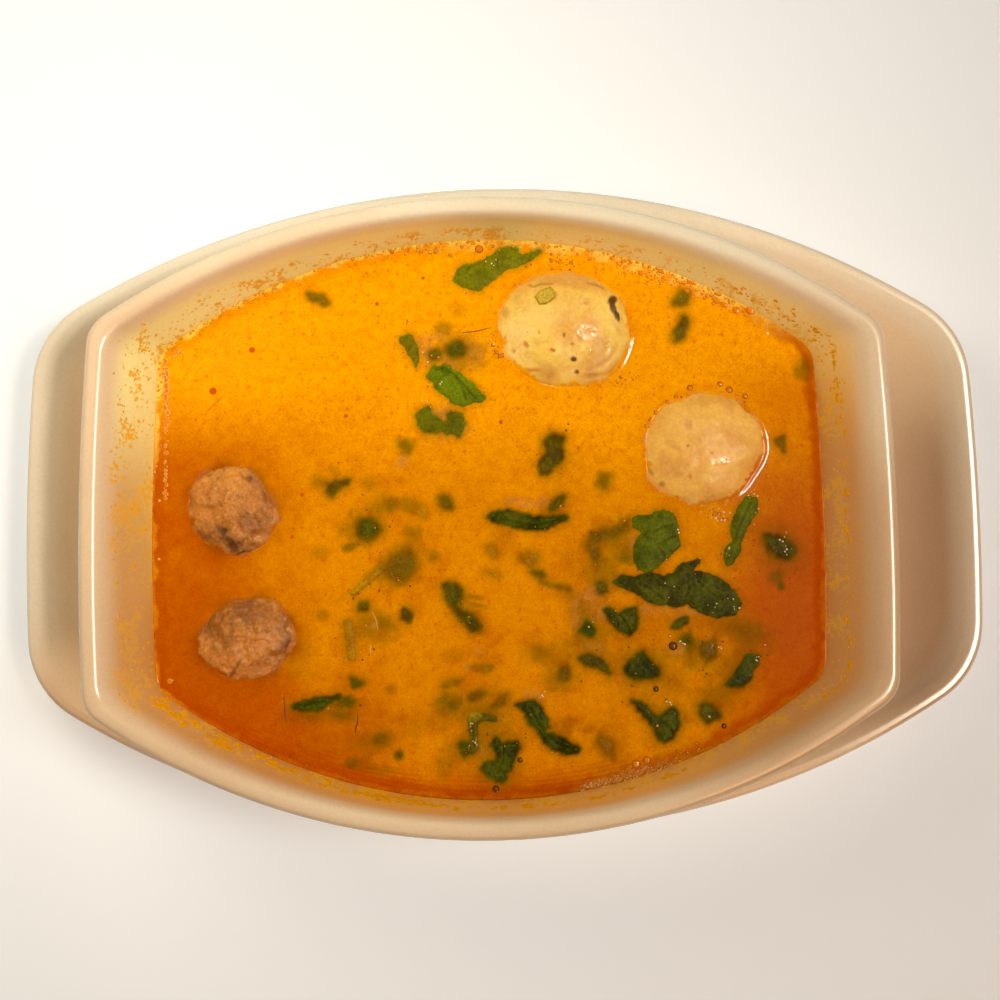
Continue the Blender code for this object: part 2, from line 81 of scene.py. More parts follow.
TRAY_SECTIONS = [
    (86.4, 48.4, 1.8), (88.0, 50.0, 0.0), (94.0, 56.0, 0.0), (95.4, 57.4, 0.8), (97.0, 59.0, 3.2),
    (112.0, 71.5, 8.6), (123.6, 82.2, 14.8), (128.4, 86.7, 17.8), (129.4, 87.7, 19.0),
    (128.7, 87.0, 20.0), (126.9, 85.3, 20.2), (125.1, 83.6, 19.5), (122.6, 81.4, 17.5),
    (118.0, 77.0, 14.3), (110.0, 69.6, 10.6), (101.0, 61.6, 7.8), (92.0, 53.6, 7.0),
]
OUTLINE_STEPS = (8, 20, 44)

RIM_LEVEL = BOWL_BASE + BOWL_HEIGHT
LEVEL = RIM_LEVEL - 12.0
SOUP_MIDDLE = (-6.0, 0.0, 40.0)
MENISCUS = 0.55
MENISCUS_REACH = 1.1
SOUP_CELLS = (316, 246)
SKIRT_SHARES = (0.6, 0.45, 0.3, 0.14, 0.0, WALL_FOOT)
PIXEL = 0.251
# Distance from the wall at which the soup no longer changes
OPEN_SOUP = 40.0

# Balls: middle and half sizes, turn in degrees, height over the soup, depths of the middle and of the
# underside, unevenness in large lumps and in five soft corners, seed
Ball = namedtuple("Ball", "name x y half_length half_width turn height depth underside "
                          "lump corner seed")
BALLS = [
    Ball("fish_ball_1", 12.4, 42.7, 18.6, 16.6, -12, 5.4, 3.0, 12.5, 0.035, 0.012, 3.1),
    Ball("fish_ball_2", 47.2, 11.7, 16.9, 15.8, 20, 4.6, 3.0, 14.0, 0.045, 0.022, 8.4),
    Ball("meatball_1", -72.0, -3.0, 13.3, 11.7, -52, 3.0, 2.5, 9.0, 0.10, 0.020, 14.2),
    Ball("meatball_2", -67.8, -34.7, 13.6, 11.2, 8, 3.0, 2.5, 9.0, 0.10, 0.020, 21.7),
]
WATERLINE_STEPS = 180
# Points round a ball and from its top to its underside
PALE_GRID = (220, 120)
MEAT_GRID = (180, 110)

# Herbs: outline in pixels on the soup's level, softness of the edge in mm, share that shows
# through the soup, form, lines of folds with painted shade in their creases, and tone from 0 dark to 1 light
Herb = namedtuple("Herb", "outline soft clear form folds tone", defaults=(0.13,))
HERBS = {
    "leaf_top": Herb([(454, 280), (462, 266), (472, 265), (483, 261), (493, 255), (498, 249), (508, 247),
        (518, 249), (516, 254), (523, 256), (541, 250), (533, 258), (521, 264), (508, 268), (498, 274),
        (493, 280), (483, 286), (478, 289), (471, 288), (464, 286), (457, 283)], 0.40, 0.92, "leaf",
        [[(499, 256), (497, 262), (498, 269)], [(466, 270), (473, 266)]], 0.70),
    "leaf_cut": Herb([(426, 377), (434, 367), (437, 369), (445, 365), (452, 369), (464, 378), (475, 388),
        (484, 398), (477, 401), (472, 403), (462, 405), (451, 402), (450, 398), (443, 393), (435, 387),
        (436, 383), (428, 378)], 0.12, 1.0, "leaf",
        [[(437, 370), (445, 368), (453, 374), (461, 385), (466, 399)],
         [(456, 376), (466, 388), (476, 399)]], 0.80),
    "leaf_pair": Herb([(416, 418), (420, 410), (425, 408), (429, 406), (431, 415), (439, 418), (444, 423),
        (448, 420), (447, 415), (450, 412), (456, 413), (462, 415), (464, 421), (467, 422), (464, 428),
        (460, 436), (452, 433), (447, 435), (443, 431), (439, 432), (431, 434), (424, 432), (418, 425)
        ], 0.45, 0.92, "leaf", [], 0.50),
    "leaf_sliver": Herb([(400, 340), (408, 334), (414, 343), (418, 356), (416, 368), (412, 357), (406, 346)
        ], 0.35, 0.85, "leaf", [], 0.55),
    "leaf_hook": Herb([(326, 491), (327, 485), (336, 481), (350, 479), (349, 484), (338, 489), (333, 497),
        (328, 495)], 0.8, 0.85, "leaf", []),
    "leaf_oval": Herb([(358, 529), (361, 522), (369, 519), (377, 522), (380, 529), (376, 536), (368, 539),
        (360, 536)], 1.5, 0.9, "leaf", []),
    "leaf_pale": Herb([(388, 557), (398, 550), (407, 548), (414, 553), (415, 562), (412, 573), (403, 580),
        (395, 582), (386, 576)], 1.3, 0.5, "leaf", [[(400, 549), (409, 549), (414, 556), (414, 565)]]),
    "leaf_middle": Herb([(443, 586), (448, 582), (456, 583), (461, 590), (461, 599), (457, 604), (463, 610),
        (471, 613), (477, 621), (482, 631), (473, 633), (465, 626), (458, 618), (452, 607), (445, 599)
        ], 0.9, 0.85, "leaf", []),
    "leaf_upright": Herb([(549, 436), (556, 433), (564, 439), (561, 448), (565, 458), (556, 466),
        (550, 473), (541, 475), (538, 467), (541, 460), (546, 452), (544, 443)], 0.7, 0.85, "leaf", []),
    "leaf_bar": Herb([(486, 517), (496, 511), (507, 509), (519, 513), (532, 517), (545, 517), (559, 515),
        (568, 517), (563, 522), (551, 527), (538, 530), (522, 529), (507, 526), (494, 522)
        ], 0.55, 0.97, "leaf", [[(500, 519), (535, 526), (560, 519)]]),
    "leaf_arch": Herb([(597, 568), (588, 552), (587, 541), (591, 532), (600, 531), (612, 530), (621, 525),
        (629, 519), (626, 531), (615, 537), (603, 538), (597, 544), (598, 555)], 1.2, 0.6, "leaf", []),
    "leaf_broad": Herb([(633, 518), (647, 517), (664, 511), (673, 514), (675, 523), (677, 532), (679, 544),
        (672, 551), (664, 559), (656, 567), (647, 572), (639, 569), (635, 557), (637, 542), (643, 532),
        (634, 526)], 0.16, 0.97, "leaf",
        [[(654, 532), (662, 527), (674, 524)], [(656, 545), (668, 539), (677, 536)],
         [(658, 547), (665, 556)]], 0.45),
    "leaf_great": Herb([(613, 582), (621, 577), (636, 578), (650, 574), (663, 576), (673, 574), (680, 566),
        (699, 560), (694, 566), (692, 572), (703, 572), (715, 577), (724, 583), (734, 591), (737, 597),
        (742, 604), (736, 612), (724, 616), (711, 616), (699, 611), (688, 603), (676, 605), (661, 605),
        (646, 599), (634, 591), (623, 586)], 0.42, 0.95, "leaf",
        [[(696, 580), (708, 590), (722, 600)], [(687, 572), (689, 588), (684, 603)],
         [(640, 583), (652, 590), (664, 600)]]),
    "leaf_spoon": Herb([(747, 497), (757, 499), (756, 511), (751, 518), (745, 528), (742, 536), (738, 551),
        (732, 562), (727, 565), (725, 557), (728, 547), (734, 541), (732, 530), (734, 518), (740, 507)
        ], 0.16, 0.95, "leaf", [[(750, 503), (741, 522), (735, 538)], [(731, 547), (729, 558)]], 0.50),
    "leaf_right": Herb([(766, 534), (776, 536), (784, 537), (793, 547), (797, 553), (788, 559), (778, 557),
        (769, 551)], 1.0, 0.85, "leaf", []),
    "leaf_vee": Herb([(603, 609), (612, 607), (618, 614), (622, 612), (626, 609), (638, 607), (637, 630),
        (630, 637), (620, 632), (610, 620)], 0.55, 0.95, "leaf", [[(620, 614), (628, 625), (631, 634)]]),
    "leaf_wedge": Herb([(635, 655), (643, 651), (651, 662), (660, 670), (658, 676), (641, 680), (628, 676),
        (624, 670)], 0.85, 0.95, "leaf", []),
    "leaf_thin": Herb([(578, 658), (589, 653), (601, 657), (612, 673), (608, 676), (597, 668), (584, 664)
        ], 0.7, 0.85, "leaf", []),
    "leaf_low_vee": Herb([(630, 700), (643, 702), (651, 710), (658, 716), (664, 713), (673, 706),
        (679, 713), (678, 727), (673, 738), (664, 744), (658, 738), (651, 726), (640, 712)
        ], 0.62, 0.95, "leaf", []),
    "leaf_right_low": Herb([(726, 684), (733, 675), (741, 664), (747, 655), (753, 654), (759, 656),
        (756, 666), (750, 678), (742, 686), (732, 687)], 0.48, 0.95, "leaf", []),
    "leaf_olive": Herb([(700, 655), (701, 646), (709, 640), (715, 636), (716, 646), (715, 657), (707, 661)
        ], 0.9, 0.6, "leaf", []),
    "leaf_left_low": Herb([(290, 707), (300, 702), (313, 699), (327, 697), (340, 696), (329, 704),
        (315, 711), (302, 711)], 0.50, 0.95, "leaf", [[(300, 706), (325, 701)]]),
    "leaf_long": Herb([(514, 706), (524, 701), (535, 700), (541, 708), (547, 718), (550, 727), (545, 731),
        (554, 735), (567, 740), (580, 749), (577, 753), (565, 754), (554, 750), (544, 742), (538, 733),
        (529, 723), (524, 712)], 0.56, 0.97, "leaf", [[(530, 706), (540, 725), (556, 742), (572, 749)]]),
    "leaf_front": Herb([(489, 746), (493, 741), (498, 739), (503, 744), (510, 741), (518, 742), (520, 748),
        (516, 756), (512, 764), (510, 771), (505, 773), (506, 779), (502, 783), (495, 780), (485, 775),
        (481, 767), (487, 762), (496, 760), (496, 752)], 0.55, 0.95, "leaf",
        [[(504, 746), (503, 760), (498, 772)]]),
    "stem_left": Herb([(350, 593), (353, 596), (368, 584), (384, 570), (381, 565), (366, 578)
        ], 0.9, 0.5, "stem", []),
    "stem_upright": Herb([(344, 621), (351, 620), (354, 640), (355, 660), (349, 661), (346, 642)
        ], 0.9, 0.45, "stem", []),
    "stem_front": Herb([(468, 715), (474, 713), (482, 714), (496, 717), (496, 721), (484, 720), (477, 722),
        (477, 734), (478, 750), (472, 752), (470, 735)], 0.4, 0.85, "stem", [[(472, 718), (474, 748)]]),
}

# Scraps: place, length and width in pixels, heading in degrees, softness in mm, share that
# shows, corners
Scrap = namedtuple("Scrap", "x y length width heading soft clear corners")
SCRAPS = [Scrap(*row) for row in (
    (456, 349, 20, 17, 10, 1.1, 0.85, 7), (435, 355, 13, 12, 60, 0.9, 0.8, 6),
    (557, 503, 24, 8, 52, 0.6, 0.85, 6), (539, 574, 14, 6, -24, 0.7, 0.8, 6),
    (556, 586, 30, 5, -14, 0.7, 0.6, 6), (446, 502, 17, 12, -40, 0.9, 0.8, 6),
    (601, 588, 15, 12, -70, 0.8, 0.8, 6), (406, 615, 19, 11, -65, 0.6, 0.85, 4),
    (607, 746, 28, 16, -60, 0.9, 0.5, 5), (709, 714, 26, 19, -20, 0.7, 0.85, 5),
    (587, 630, 19, 18, 20, 0.6, 0.97, 4), (682, 299, 19, 15, 30, 1.0, 0.8, 6),
    (681, 330, 28, 13, 74, 1.0, 0.85, 6), (318, 299, 28, 11, -18, 0.8, 0.75, 5),
    (357, 683, 19, 14, -10, 0.6, 0.85, 3), (680, 623, 19, 9, 32, 0.5, 0.9, 6),
    (466, 748, 17, 14, -15, 0.9, 0.9, 6), (453, 683, 25, 6, 12, 0.6, 0.5, 6),
    (482, 668, 22, 8, -6, 0.6, 0.45, 6), (499, 702, 24, 7, 42, 0.7, 0.5, 6),
    (456, 704, 17, 9, 84, 0.8, 0.45, 6), (492, 551, 18, 10, -60, 0.7, 0.4, 5),
    (493, 574, 18, 8, -14, 0.9, 0.3, 6), (529, 559, 19, 14, 10, 1.1, 0.5, 7),
    (564, 673, 20, 10, 75, 0.9, 0.6, 6), (392, 505, 14, 12, 30, 1.1, 0.45, 6),
    (421, 512, 14, 12, 0, 1.2, 0.3, 6), (782, 441, 22, 13, -72, 0.6, 0.7, 3),
    (477, 696, 20, 8, 18, 0.7, 0.6, 6), (382, 739, 15, 10, 15, 1.1, 0.5, 6),
    (364, 606, 12, 10, 40, 0.7, 0.85, 6),
)]

# Things sunk under the surface: place, half length and half width in pixels, turn in degrees,
# strength, tone
Sunk = namedtuple("Sunk", "x y a b turn strength tone")
SUNK = [Sunk(*row) for row in (
    (463, 353, 22, 15, -10, 0.45, "green"), (443, 330, 9, 7, 0, 0.45, "green"),
    (458, 309, 9, 7, 0, 0.16, "green"), (370, 278, 11, 6, 0, 0.14, "green"),
    (406, 446, 9, 8, 0, 0.6, "green"), (409, 504, 10, 8, 0, 0.4, "green"),
    (412, 533, 9, 8, 0, 0.4, "green"), (380, 506, 12, 10, 30, 0.35, "green"),
    (369, 484, 8, 7, 0, 0.3, "green"), (604, 480, 9, 10, 0, 0.6, "green"),
    (803, 370, 8, 10, 0, 0.5, "green"), (319, 482, 9, 7, 0, 0.35, "green"),
    (333, 470, 8, 5, -40, 0.3, "brown"), (363, 528, 20, 15, 0, 0.45, "green"),
    (433, 556, 6, 5, 0, 0.4, "green"), (321, 552, 9, 7, 0, 0.25, "green"),
    (349, 547, 8, 4, 15, 0.55, "green"), (402, 566, 22, 16, 40, 0.45, "green"),
    (374, 627, 22, 14, 0, 0.4, "green"), (384, 622, 10, 7, -30, 0.3, "green"),
    (322, 615, 6, 5, 0, 0.3, "green"), (464, 606, 22, 12, -50, 0.3, "green"),
    (475, 597, 9, 2, -10, 0.5, "green"), (482, 606, 8, 2, -12, 0.4, "green"),
    (556, 455, 14, 22, 15, 0.3, "green"), (552, 512, 16, 14, 40, 0.3, "brown"),
    (503, 541, 12, 16, 0, 0.25, "brown"), (616, 540, 24, 18, 10, 0.4, "green"),
    (628, 556, 10, 8, 0, 0.55, "green"), (603, 575, 18, 18, 0, 0.4, "green"),
    (590, 606, 26, 12, -20, 0.3, "brown"), (592, 640, 20, 26, 0, 0.35, "green"),
    (580, 612, 10, 16, 20, 0.35, "green"), (540, 653, 13, 9, 0, 0.4, "green"),
    (565, 647, 14, 9, 20, 0.22, "green"), (560, 676, 16, 16, 0, 0.35, "green"),
    (645, 668, 30, 22, 0, 0.4, "green"), (676, 684, 16, 9, -20, 0.3, "brown"),
    (697, 655, 22, 14, -30, 0.4, "green"), (686, 641, 10, 9, 0, 0.7, "green"),
    (741, 628, 24, 10, -10, 0.35, "green"), (752, 636, 22, 12, -20, 0.25, "green"),
    (735, 664, 30, 14, 50, 0.3, "green"), (716, 700, 34, 14, 30, 0.32, "green"),
    (780, 548, 24, 20, -30, 0.35, "green"), (776, 577, 8, 7, 0, 0.45, "green"),
    (781, 586, 4, 4, 0, 0.7, "green"), (665, 722, 22, 26, 0, 0.3, "green"),
    (610, 748, 18, 26, 20, 0.3, "brown"), (553, 735, 26, 14, -40, 0.3, "brown"),
    (567, 725, 10, 8, 0, 0.4, "brown"), (588, 729, 7, 5, 0, 0.4, "brown"),
    (480, 712, 30, 24, 0, 0.3, "green"), (445, 704, 12, 12, 0, 0.5, "green"),
    (497, 755, 26, 30, 0, 0.35, "green"), (456, 752, 14, 14, 0, 0.3, "green"),
    (443, 768, 10, 12, 0, 0.25, "green"), (327, 710, 34, 10, 8, 0.35, "green"),
    (346, 702, 9, 6, 0, 0.8, "green"), (345, 716, 12, 6, 0, 0.35, "green"),
    (392, 689, 6, 6, 0, 0.5, "brown"), (399, 755, 5, 5, 0, 0.7, "green"),
    (352, 763, 8, 6, 0, 0.5, "green"), (365, 762, 7, 8, 0, 0.4, "brown"),
    (383, 770, 16, 5, 0, 0.25, "green"), (374, 742, 20, 9, 10, 0.3, "green"),
    (455, 656, 10, 6, 0, 0.3, "brown"), (420, 724, 16, 12, 0, 0.2, "brown"),
    (350, 740, 60, 26, 10, 0.16, "brown"), (300, 660, 14, 22, 0, 0.12, "green"),
    (440, 720, 12, 10, 0, 0.25, "brown"), (705, 625, 26, 9, -10, 0.3, "brown"),
    (650, 620, 30, 16, 0, 0.22, "brown"), (575, 560, 14, 20, 0, 0.15, "brown"),
)]

# Pale clumps of fat and froth: place, half sizes in pixels, turn, strength
FROTH = [
    (425, 350, 14, 10, 20, 0.45), (446, 362, 16, 7, -20, 0.4), (444, 412, 10, 7, 0, 0.55),
    (474, 352, 12, 12, 0, 0.3), (436, 336, 16, 7, 10, 0.3), (452, 434, 20, 8, 10, 0.25),
    (402, 461, 9, 5, 20, 0.65), (520, 503, 17, 5, -5, 0.6), (543, 503, 10, 6, 0, 0.5),
    (478, 652, 8, 4, 0, 0.3), (590, 596, 16, 10, 30, 0.5), (600, 612, 10, 9, 0, 0.5),
    (577, 620, 7, 13, 20, 0.4), (593, 650, 10, 9, 0, 0.45), (532, 694, 12, 5, -8, 0.5),
    (633, 545, 5, 10, 0, 0.35), (655, 609, 34, 6, 6, 0.45), (686, 612, 16, 7, 20, 0.4),
    (480, 750, 4, 4, 0, 0.6), (551, 738, 5, 3, -30, 0.5), (374, 624, 5, 5, 0, 0.5),
    (468, 667, 4, 3, 0, 0.5), (677, 650, 7, 6, 0, 0.6), (722, 398, 14, 5, 0, 0.3),
    (741, 408, 6, 12, 20, 0.3), (700, 720, 4, 4, 0, 0.2), (600, 784, 22, 5, 14, 0.6),
    (632, 774, 22, 6, 17, 0.7), (662, 765, 16, 5, 22, 0.5)]

# Bubbles and drops: pixel and radius in pixels
BROWN_BUBBLES = [
    (436, 251, 3.0), (479, 249, 4.5), (421, 252, 2.0), (450, 255, 2.0), (462, 247, 2.0), (493, 246, 2.0),
    (392, 252, 2.5), (552, 261, 2.0), (560, 260, 1.6), (571, 263, 2.0), (493, 345, 2.2), (496, 351, 2.0),
    (500, 356, 2.2), (690, 388, 3.5), (676, 397, 2.5), (667, 402, 2.2), (656, 413, 2.6), (650, 420, 2.0),
    (646, 426, 2.0), (720, 384, 3.0), (729, 390, 4.0), (745, 396, 3.0), (763, 459, 2.2), (766, 466, 2.0),
    (636, 764, 4.6), (647, 760, 4.0), (768, 476, 2.2), (714, 510, 2.0), (719, 514, 2.6), (725, 519, 2.0),
    (170, 681, 4.0), (670, 636, 2.0)]
OIL_DROPS = [
    (631, 262, 2.5), (641, 273, 3.0), (707, 295, 2.5), (716, 300, 3.5), (725, 305, 3.0), (736, 310, 4.0),
    (750, 310, 5.0)]
DARK_HOLES = [
    (656, 689, 3.0), (724, 726, 2.8), (673, 646, 4.6), (496, 789, 3.4), (520, 760, 2.8), (366, 528, 2.0),
    (703, 642, 1.6), (689, 640, 1.8)]
RED_DOTS = [
    (346, 416, 1.6), (377, 304, 1.6), (423, 278, 1.4), (501, 422, 1.8), (292, 537, 1.6), (302, 495, 1.5),
    (213, 391, 3.0), (252, 350, 2.5)]
# Their kinds: places, growth, height as a share of the radius, colours of rim and middle; the brown bubbles'
# darker rims and paler middles are painted shade and painted light
DROP_KINDS = (
    (BROWN_BUBBLES, 1.0, 0.26, (180, 94, 6), (222, 140, 24)),
    (OIL_DROPS, 1.0, 0.16, (222, 116, 0), (244, 148, 4)),
    (DARK_HOLES, 1.0, 0.50, (56, 40, 2), (124, 78, 6)),
    (RED_DOTS, 1.3, 0.12, (220, 104, 0), (208, 84, 0)),
)
# Froth along the soup's edge: from and to as shares of the way round, number, depth of the band in
# mm, least and greatest radius in pixels, colours of rim and middle, the darker rims and paler middles being
# painted shade and painted light
EDGE_FROTH = [
    (0.440, 0.520, 16, 1.6, 0.8, 2.0, (206, 120, 20), (250, 192, 90)),
    (0.200, 0.330, 120, 2.4, 0.7, 2.0, (214, 124, 4), (244, 176, 30)),
    (0.110, 0.200, 120, 3.4, 0.7, 2.2, (222, 120, 0), (240, 160, 8)),
    (0.330, 0.440, 90, 1.4, 0.7, 1.8, (222, 124, 0), (244, 172, 24)),
    (0.790, 0.860, 90, 2.6, 0.6, 1.8, (158, 78, 4), (226, 156, 66)),
    (0.620, 0.760, 40, 1.6, 0.6, 1.3, (166, 78, 4), (204, 116, 24)),
]
# Trails of small bubbles: from and to in pixels, number, spread, least and greatest radius, colours
# of rim and middle; darker rims with paler middles are painted shade and painted light, and the pale rims of
# the pale ring a painted highlight
DEEP_RING, PALE_RING = ((172, 88, 4), (206, 122, 14)), ((250, 206, 122), (222, 134, 16))
CREAM_RING = ((150, 74, 4), (232, 166, 84))
TRAILS = [
    (648, 428, 690, 392, 26, 2.6, 0.7, 1.8, *DEEP_RING),
    (735, 392, 762, 440, 16, 2.6, 0.7, 1.7, *DEEP_RING),
    (548, 262, 575, 262, 18, 4.0, 0.7, 1.6, *DEEP_RING),
    (492, 342, 502, 360, 14, 2.6, 0.7, 1.7, *DEEP_RING),
    (608, 384, 640, 376, 16, 3.0, 0.6, 1.4, *DEEP_RING),
    (705, 512, 730, 518, 16, 3.0, 0.7, 1.6, *DEEP_RING),
    (166, 360, 167, 430, 54, 1.6, 1.0, 2.8, *PALE_RING),
    (167, 430, 165, 500, 34, 1.2, 0.8, 1.9, *PALE_RING),
    (172, 356, 184, 350, 14, 1.6, 0.8, 2.0, *PALE_RING),
    (580, 789, 672, 764, 150, 2.6, 0.6, 1.6, *CREAM_RING),
    (700, 512, 742, 494, 14, 1.4, 0.6, 1.2, *PALE_RING),
    (590, 268, 680, 284, 50, 3.5, 0.7, 1.6, (220, 120, 0), (242, 162, 8)),
    (680, 284, 740, 312, 44, 3.5, 0.7, 2.0, (218, 112, 0), (238, 148, 6))]
# Number of the small grains that gather round the herbs
PINHOLES = 420
# Marks on the balls: pixel, half sizes, turn, strength, colour; those over FIRM have a firm edge
FIRM = 0.85
# On the first ball the pale patches at (515, 338) and (540, 318) are painted light on its lit left side, and
# the tan ones at (598, 352), (546, 371) and (592, 374) painted shade low on it.
BALL_1_SPOTS = [
    (556, 277, 50, 9, -6, 0.55, (204, 136, 70)), (522, 300, 10, 16, 20, 0.35, (214, 146, 76)),
    (515, 338, 14, 22, 0, 0.5, (255, 228, 152)), (540, 318, 26, 14, 20, 0.35, (255, 224, 140)),
    (598, 352, 12, 18, -30, 0.5, (206, 140, 66)), (546, 371, 9, 8, 0, 0.5, (196, 132, 66)),
    (592, 374, 6, 5, 0, 0.5, (190, 126, 60)), (575, 300, 16, 8, 0, 0.3, (222, 160, 84)),
    (612, 300, 5, 4, 40, 0.95, (72, 36, 14)), (613, 308, 3, 6, 18, 0.95, (92, 48, 20)),
    (617, 316, 2.6, 6.5, 14, 0.98, (60, 28, 10)), (574, 359, 2.8, 2.8, 0, 0.95, (70, 34, 10)),
    (577, 372, 2.0, 2.0, 0, 0.9, (80, 40, 12)), (564, 335, 1.3, 2.0, 0, 0.85, (130, 66, 14)),
    (539, 332, 1.3, 2.2, 0, 0.7, (206, 120, 30)), (552, 350, 3.0, 2.2, -20, 0.9, (214, 112, 10)),
    (526, 344, 2.0, 4.0, 30, 0.8, (206, 124, 20)), (514, 351, 2.0, 2.0, 0, 0.7, (206, 130, 30)),
    (530, 370, 8, 1.6, 0, 0.8, (210, 126, 20)), (586, 303, 3, 1.8, 0, 0.7, (226, 140, 30)),
    (505, 338, 1.6, 3, 0, 0.7, (214, 130, 30)), (506, 312, 5, 4, 0, 0.5, (206, 138, 50)),
    (572, 344, 1.6, 1.2, 0, 0.7, (120, 60, 10))]
BALL_1_LINES = ([(529, 285), (533, 287), (541, 284), (552, 284)], [(588, 283), (596, 285), (603, 288)])
BALL_2_SPOTS = [
    (712, 398, 24, 6, 12, 0.25, (214, 144, 60)), (694, 424, 16, 14, 0, 0.4, (246, 196, 108)),
    (688, 424, 4, 6, 30, 0.3, (176, 108, 46)), (700, 440, 2, 3, 20, 0.35, (150, 84, 30)),
    (688, 446, 1.4, 1.4, 0, 0.7, (140, 74, 26)), (674, 446, 9, 3, -30, 0.3, (190, 118, 50)),
    (712, 453, 1.8, 1.8, 0, 0.6, (170, 96, 30)), (741, 453, 4.5, 3, 30, 0.3, (176, 108, 50)),
    (690, 476, 2.0, 2.4, 0, 0.7, (206, 130, 24)), (734, 438, 10, 12, 0, 0.35, (226, 158, 90)),
    (672, 470, 12, 12, 0, 0.35, (206, 140, 76)), (712, 432, 12, 5, 10, 0.3, (206, 138, 70)),
    (662, 484, 3.0, 2.6, 0, 0.6, (160, 92, 30)), (651, 472, 2.0, 4.0, 30, 0.5, (150, 84, 30)),
    (726, 484, 16, 10, 20, 0.35, (244, 186, 106)), (700, 497, 22, 8, 0, 0.3, (200, 130, 60))]
MEAT_SPOTS = [
    [(228, 478, 20, 12, -10, 0.55, (222, 158, 66)), (214, 498, 16, 16, 0, 0.35, (212, 142, 64)),
     (246, 530, 20, 14, -20, 0.45, (168, 104, 46)), (226, 536, 6, 12, 30, 0.85, (64, 36, 4)),
     (236, 546, 7, 10, 20, 0.75, (84, 48, 6)), (206, 538, 12, 14, 0, 0.5, (120, 70, 28)),
     (254, 552, 16, 8, 10, 0.55, (104, 60, 18)), (262, 500, 8, 18, 20, 0.35, (150, 88, 34)),
     (249, 478, 4, 3, 0, 0.8, (80, 48, 4)), (240, 534, 14, 5, -10, 0.4, (226, 160, 86))],
    [(250, 612, 30, 10, -6, 0.65, (120, 66, 22)), (224, 660, 22, 16, -30, 0.7, (214, 142, 70)),
     (262, 668, 16, 9, 20, 0.45, (206, 136, 66)), (292, 640, 10, 12, 0, 0.6, (110, 62, 20)),
     (272, 640, 12, 8, 20, 0.5, (220, 150, 80)), (206, 622, 8, 14, 10, 0.5, (130, 74, 28)),
     (258, 622, 6, 16, 20, 0.35, (200, 130, 66)), (236, 668, 1.6, 10, -34, 0.7, (120, 70, 24))]]
# Wet places on the pale balls: pixel and half sizes
BALL_WET = [[(584, 332, 11, 6), (608, 346, 4, 6), (514, 339, 5, 7), (590, 352, 3, 4), (618, 374, 12, 5)],
            [(656, 464, 6, 6), (722, 462, 9, 6), (720, 498, 9, 5), (706, 504, 8, 4), (706, 416, 14, 3)]]
# Slice of stem on the first ball: outline in pixels, and its rings as share of it and height
STEM_SLICE = [(535, 297), (541, 291), (550, 287), (555, 293), (554, 299), (545, 305), (539, 305)]
SLICE_RINGS = ((0.94, 3.4), (1.0, 3.6), (1.0, 5.0), (0.9, 5.35), (0.55, 5.2), (0.2, 5.25))
# Dried specks on the wall: from and to as shares of the way round, number, lowest and highest in mm
# over the soup, least and greatest radius in mm, darkness
SPLASH_BANDS = [
    (0.42, 0.60, 110, 1.0, 9.0, 0.12, 0.45, 0.8), (0.44, 0.60, 70, 6.5, 8.5, 0.14, 0.50, 0.8),
    (0.00, 0.09, 36, 4.2, 5.4, 0.30, 0.85, 1.3), (0.91, 1.00, 40, 4.2, 5.4, 0.30, 0.85, 1.3),
    (0.00, 0.10, 40, 0.9, 5.0, 0.12, 0.50, 0.9), (0.90, 1.00, 30, 0.9, 4.4, 0.12, 0.40, 0.9),
    (0.07, 0.13, 50, 1.4, 5.4, 0.20, 0.70, 1.0), (0.11, 0.20, 44, 1.0, 5.0, 0.14, 0.50, 0.7),
    (0.20, 0.30, 44, 1.6, 4.0, 0.12, 0.40, 0.6), (0.30, 0.44, 70, 0.8, 5.0, 0.14, 0.55, 0.6),
    (0.58, 0.72, 110, 1.4, 4.2, 0.40, 1.30, 1.3), (0.66, 0.84, 80, 2.8, 4.4, 0.34, 1.10, 1.3),
]
# Ripples that catch the light, as lines of pixels
RIPPLES = [[(727, 320), (740, 322), (754, 326), (766, 333)], [(632, 366), (622, 382), (600, 398)],
           [(171, 361), (181, 354)]]
# Drops of fat, pale as painted glints: pixel, number, spread in pixels, height over the soup in mm
FAT_AND_GLINT_SHADE = (255, 238, 190)
BEADS = [
    (715, 606, 4, 2.4, 0.38), (733, 600, 4, 2.4, 0.38), (738, 608, 3, 2.0, 0.34), (757, 659, 5, 2.0, 0.34),
    (720, 646, 3, 2.0, 0.05), (684, 645, 4, 3.0, 0.05), (678, 530, 2, 2.0, 0.36), (755, 510, 3, 3.0, 0.36),
    (730, 552, 4, 2.4, 0.36), (786, 546, 8, 6.0, 0.20), (721, 515, 12, 5.0, 0.08), (667, 706, 3, 2.4, 0.36),
    (471, 726, 4, 2.0, 0.42), (474, 745, 5, 2.6, 0.42), (668, 560, 2, 2.0, 0.36), (438, 382, 2, 1.6, 0.38),
    (494, 262, 4, 4.0, 0.36), (492, 338, 4, 3.0, 0.05), (709, 717, 2, 1.6, 0.34), (428, 402, 3, 5.0, 0.05),
    (592, 625, 2, 3.0, 0.05), (541, 694, 4, 3.0, 0.05), (750, 497, 8, 6.0, 0.10), (664, 585, 3, 6.0, 0.36),
    (420, 350, 6, 7.0, 0.08)]
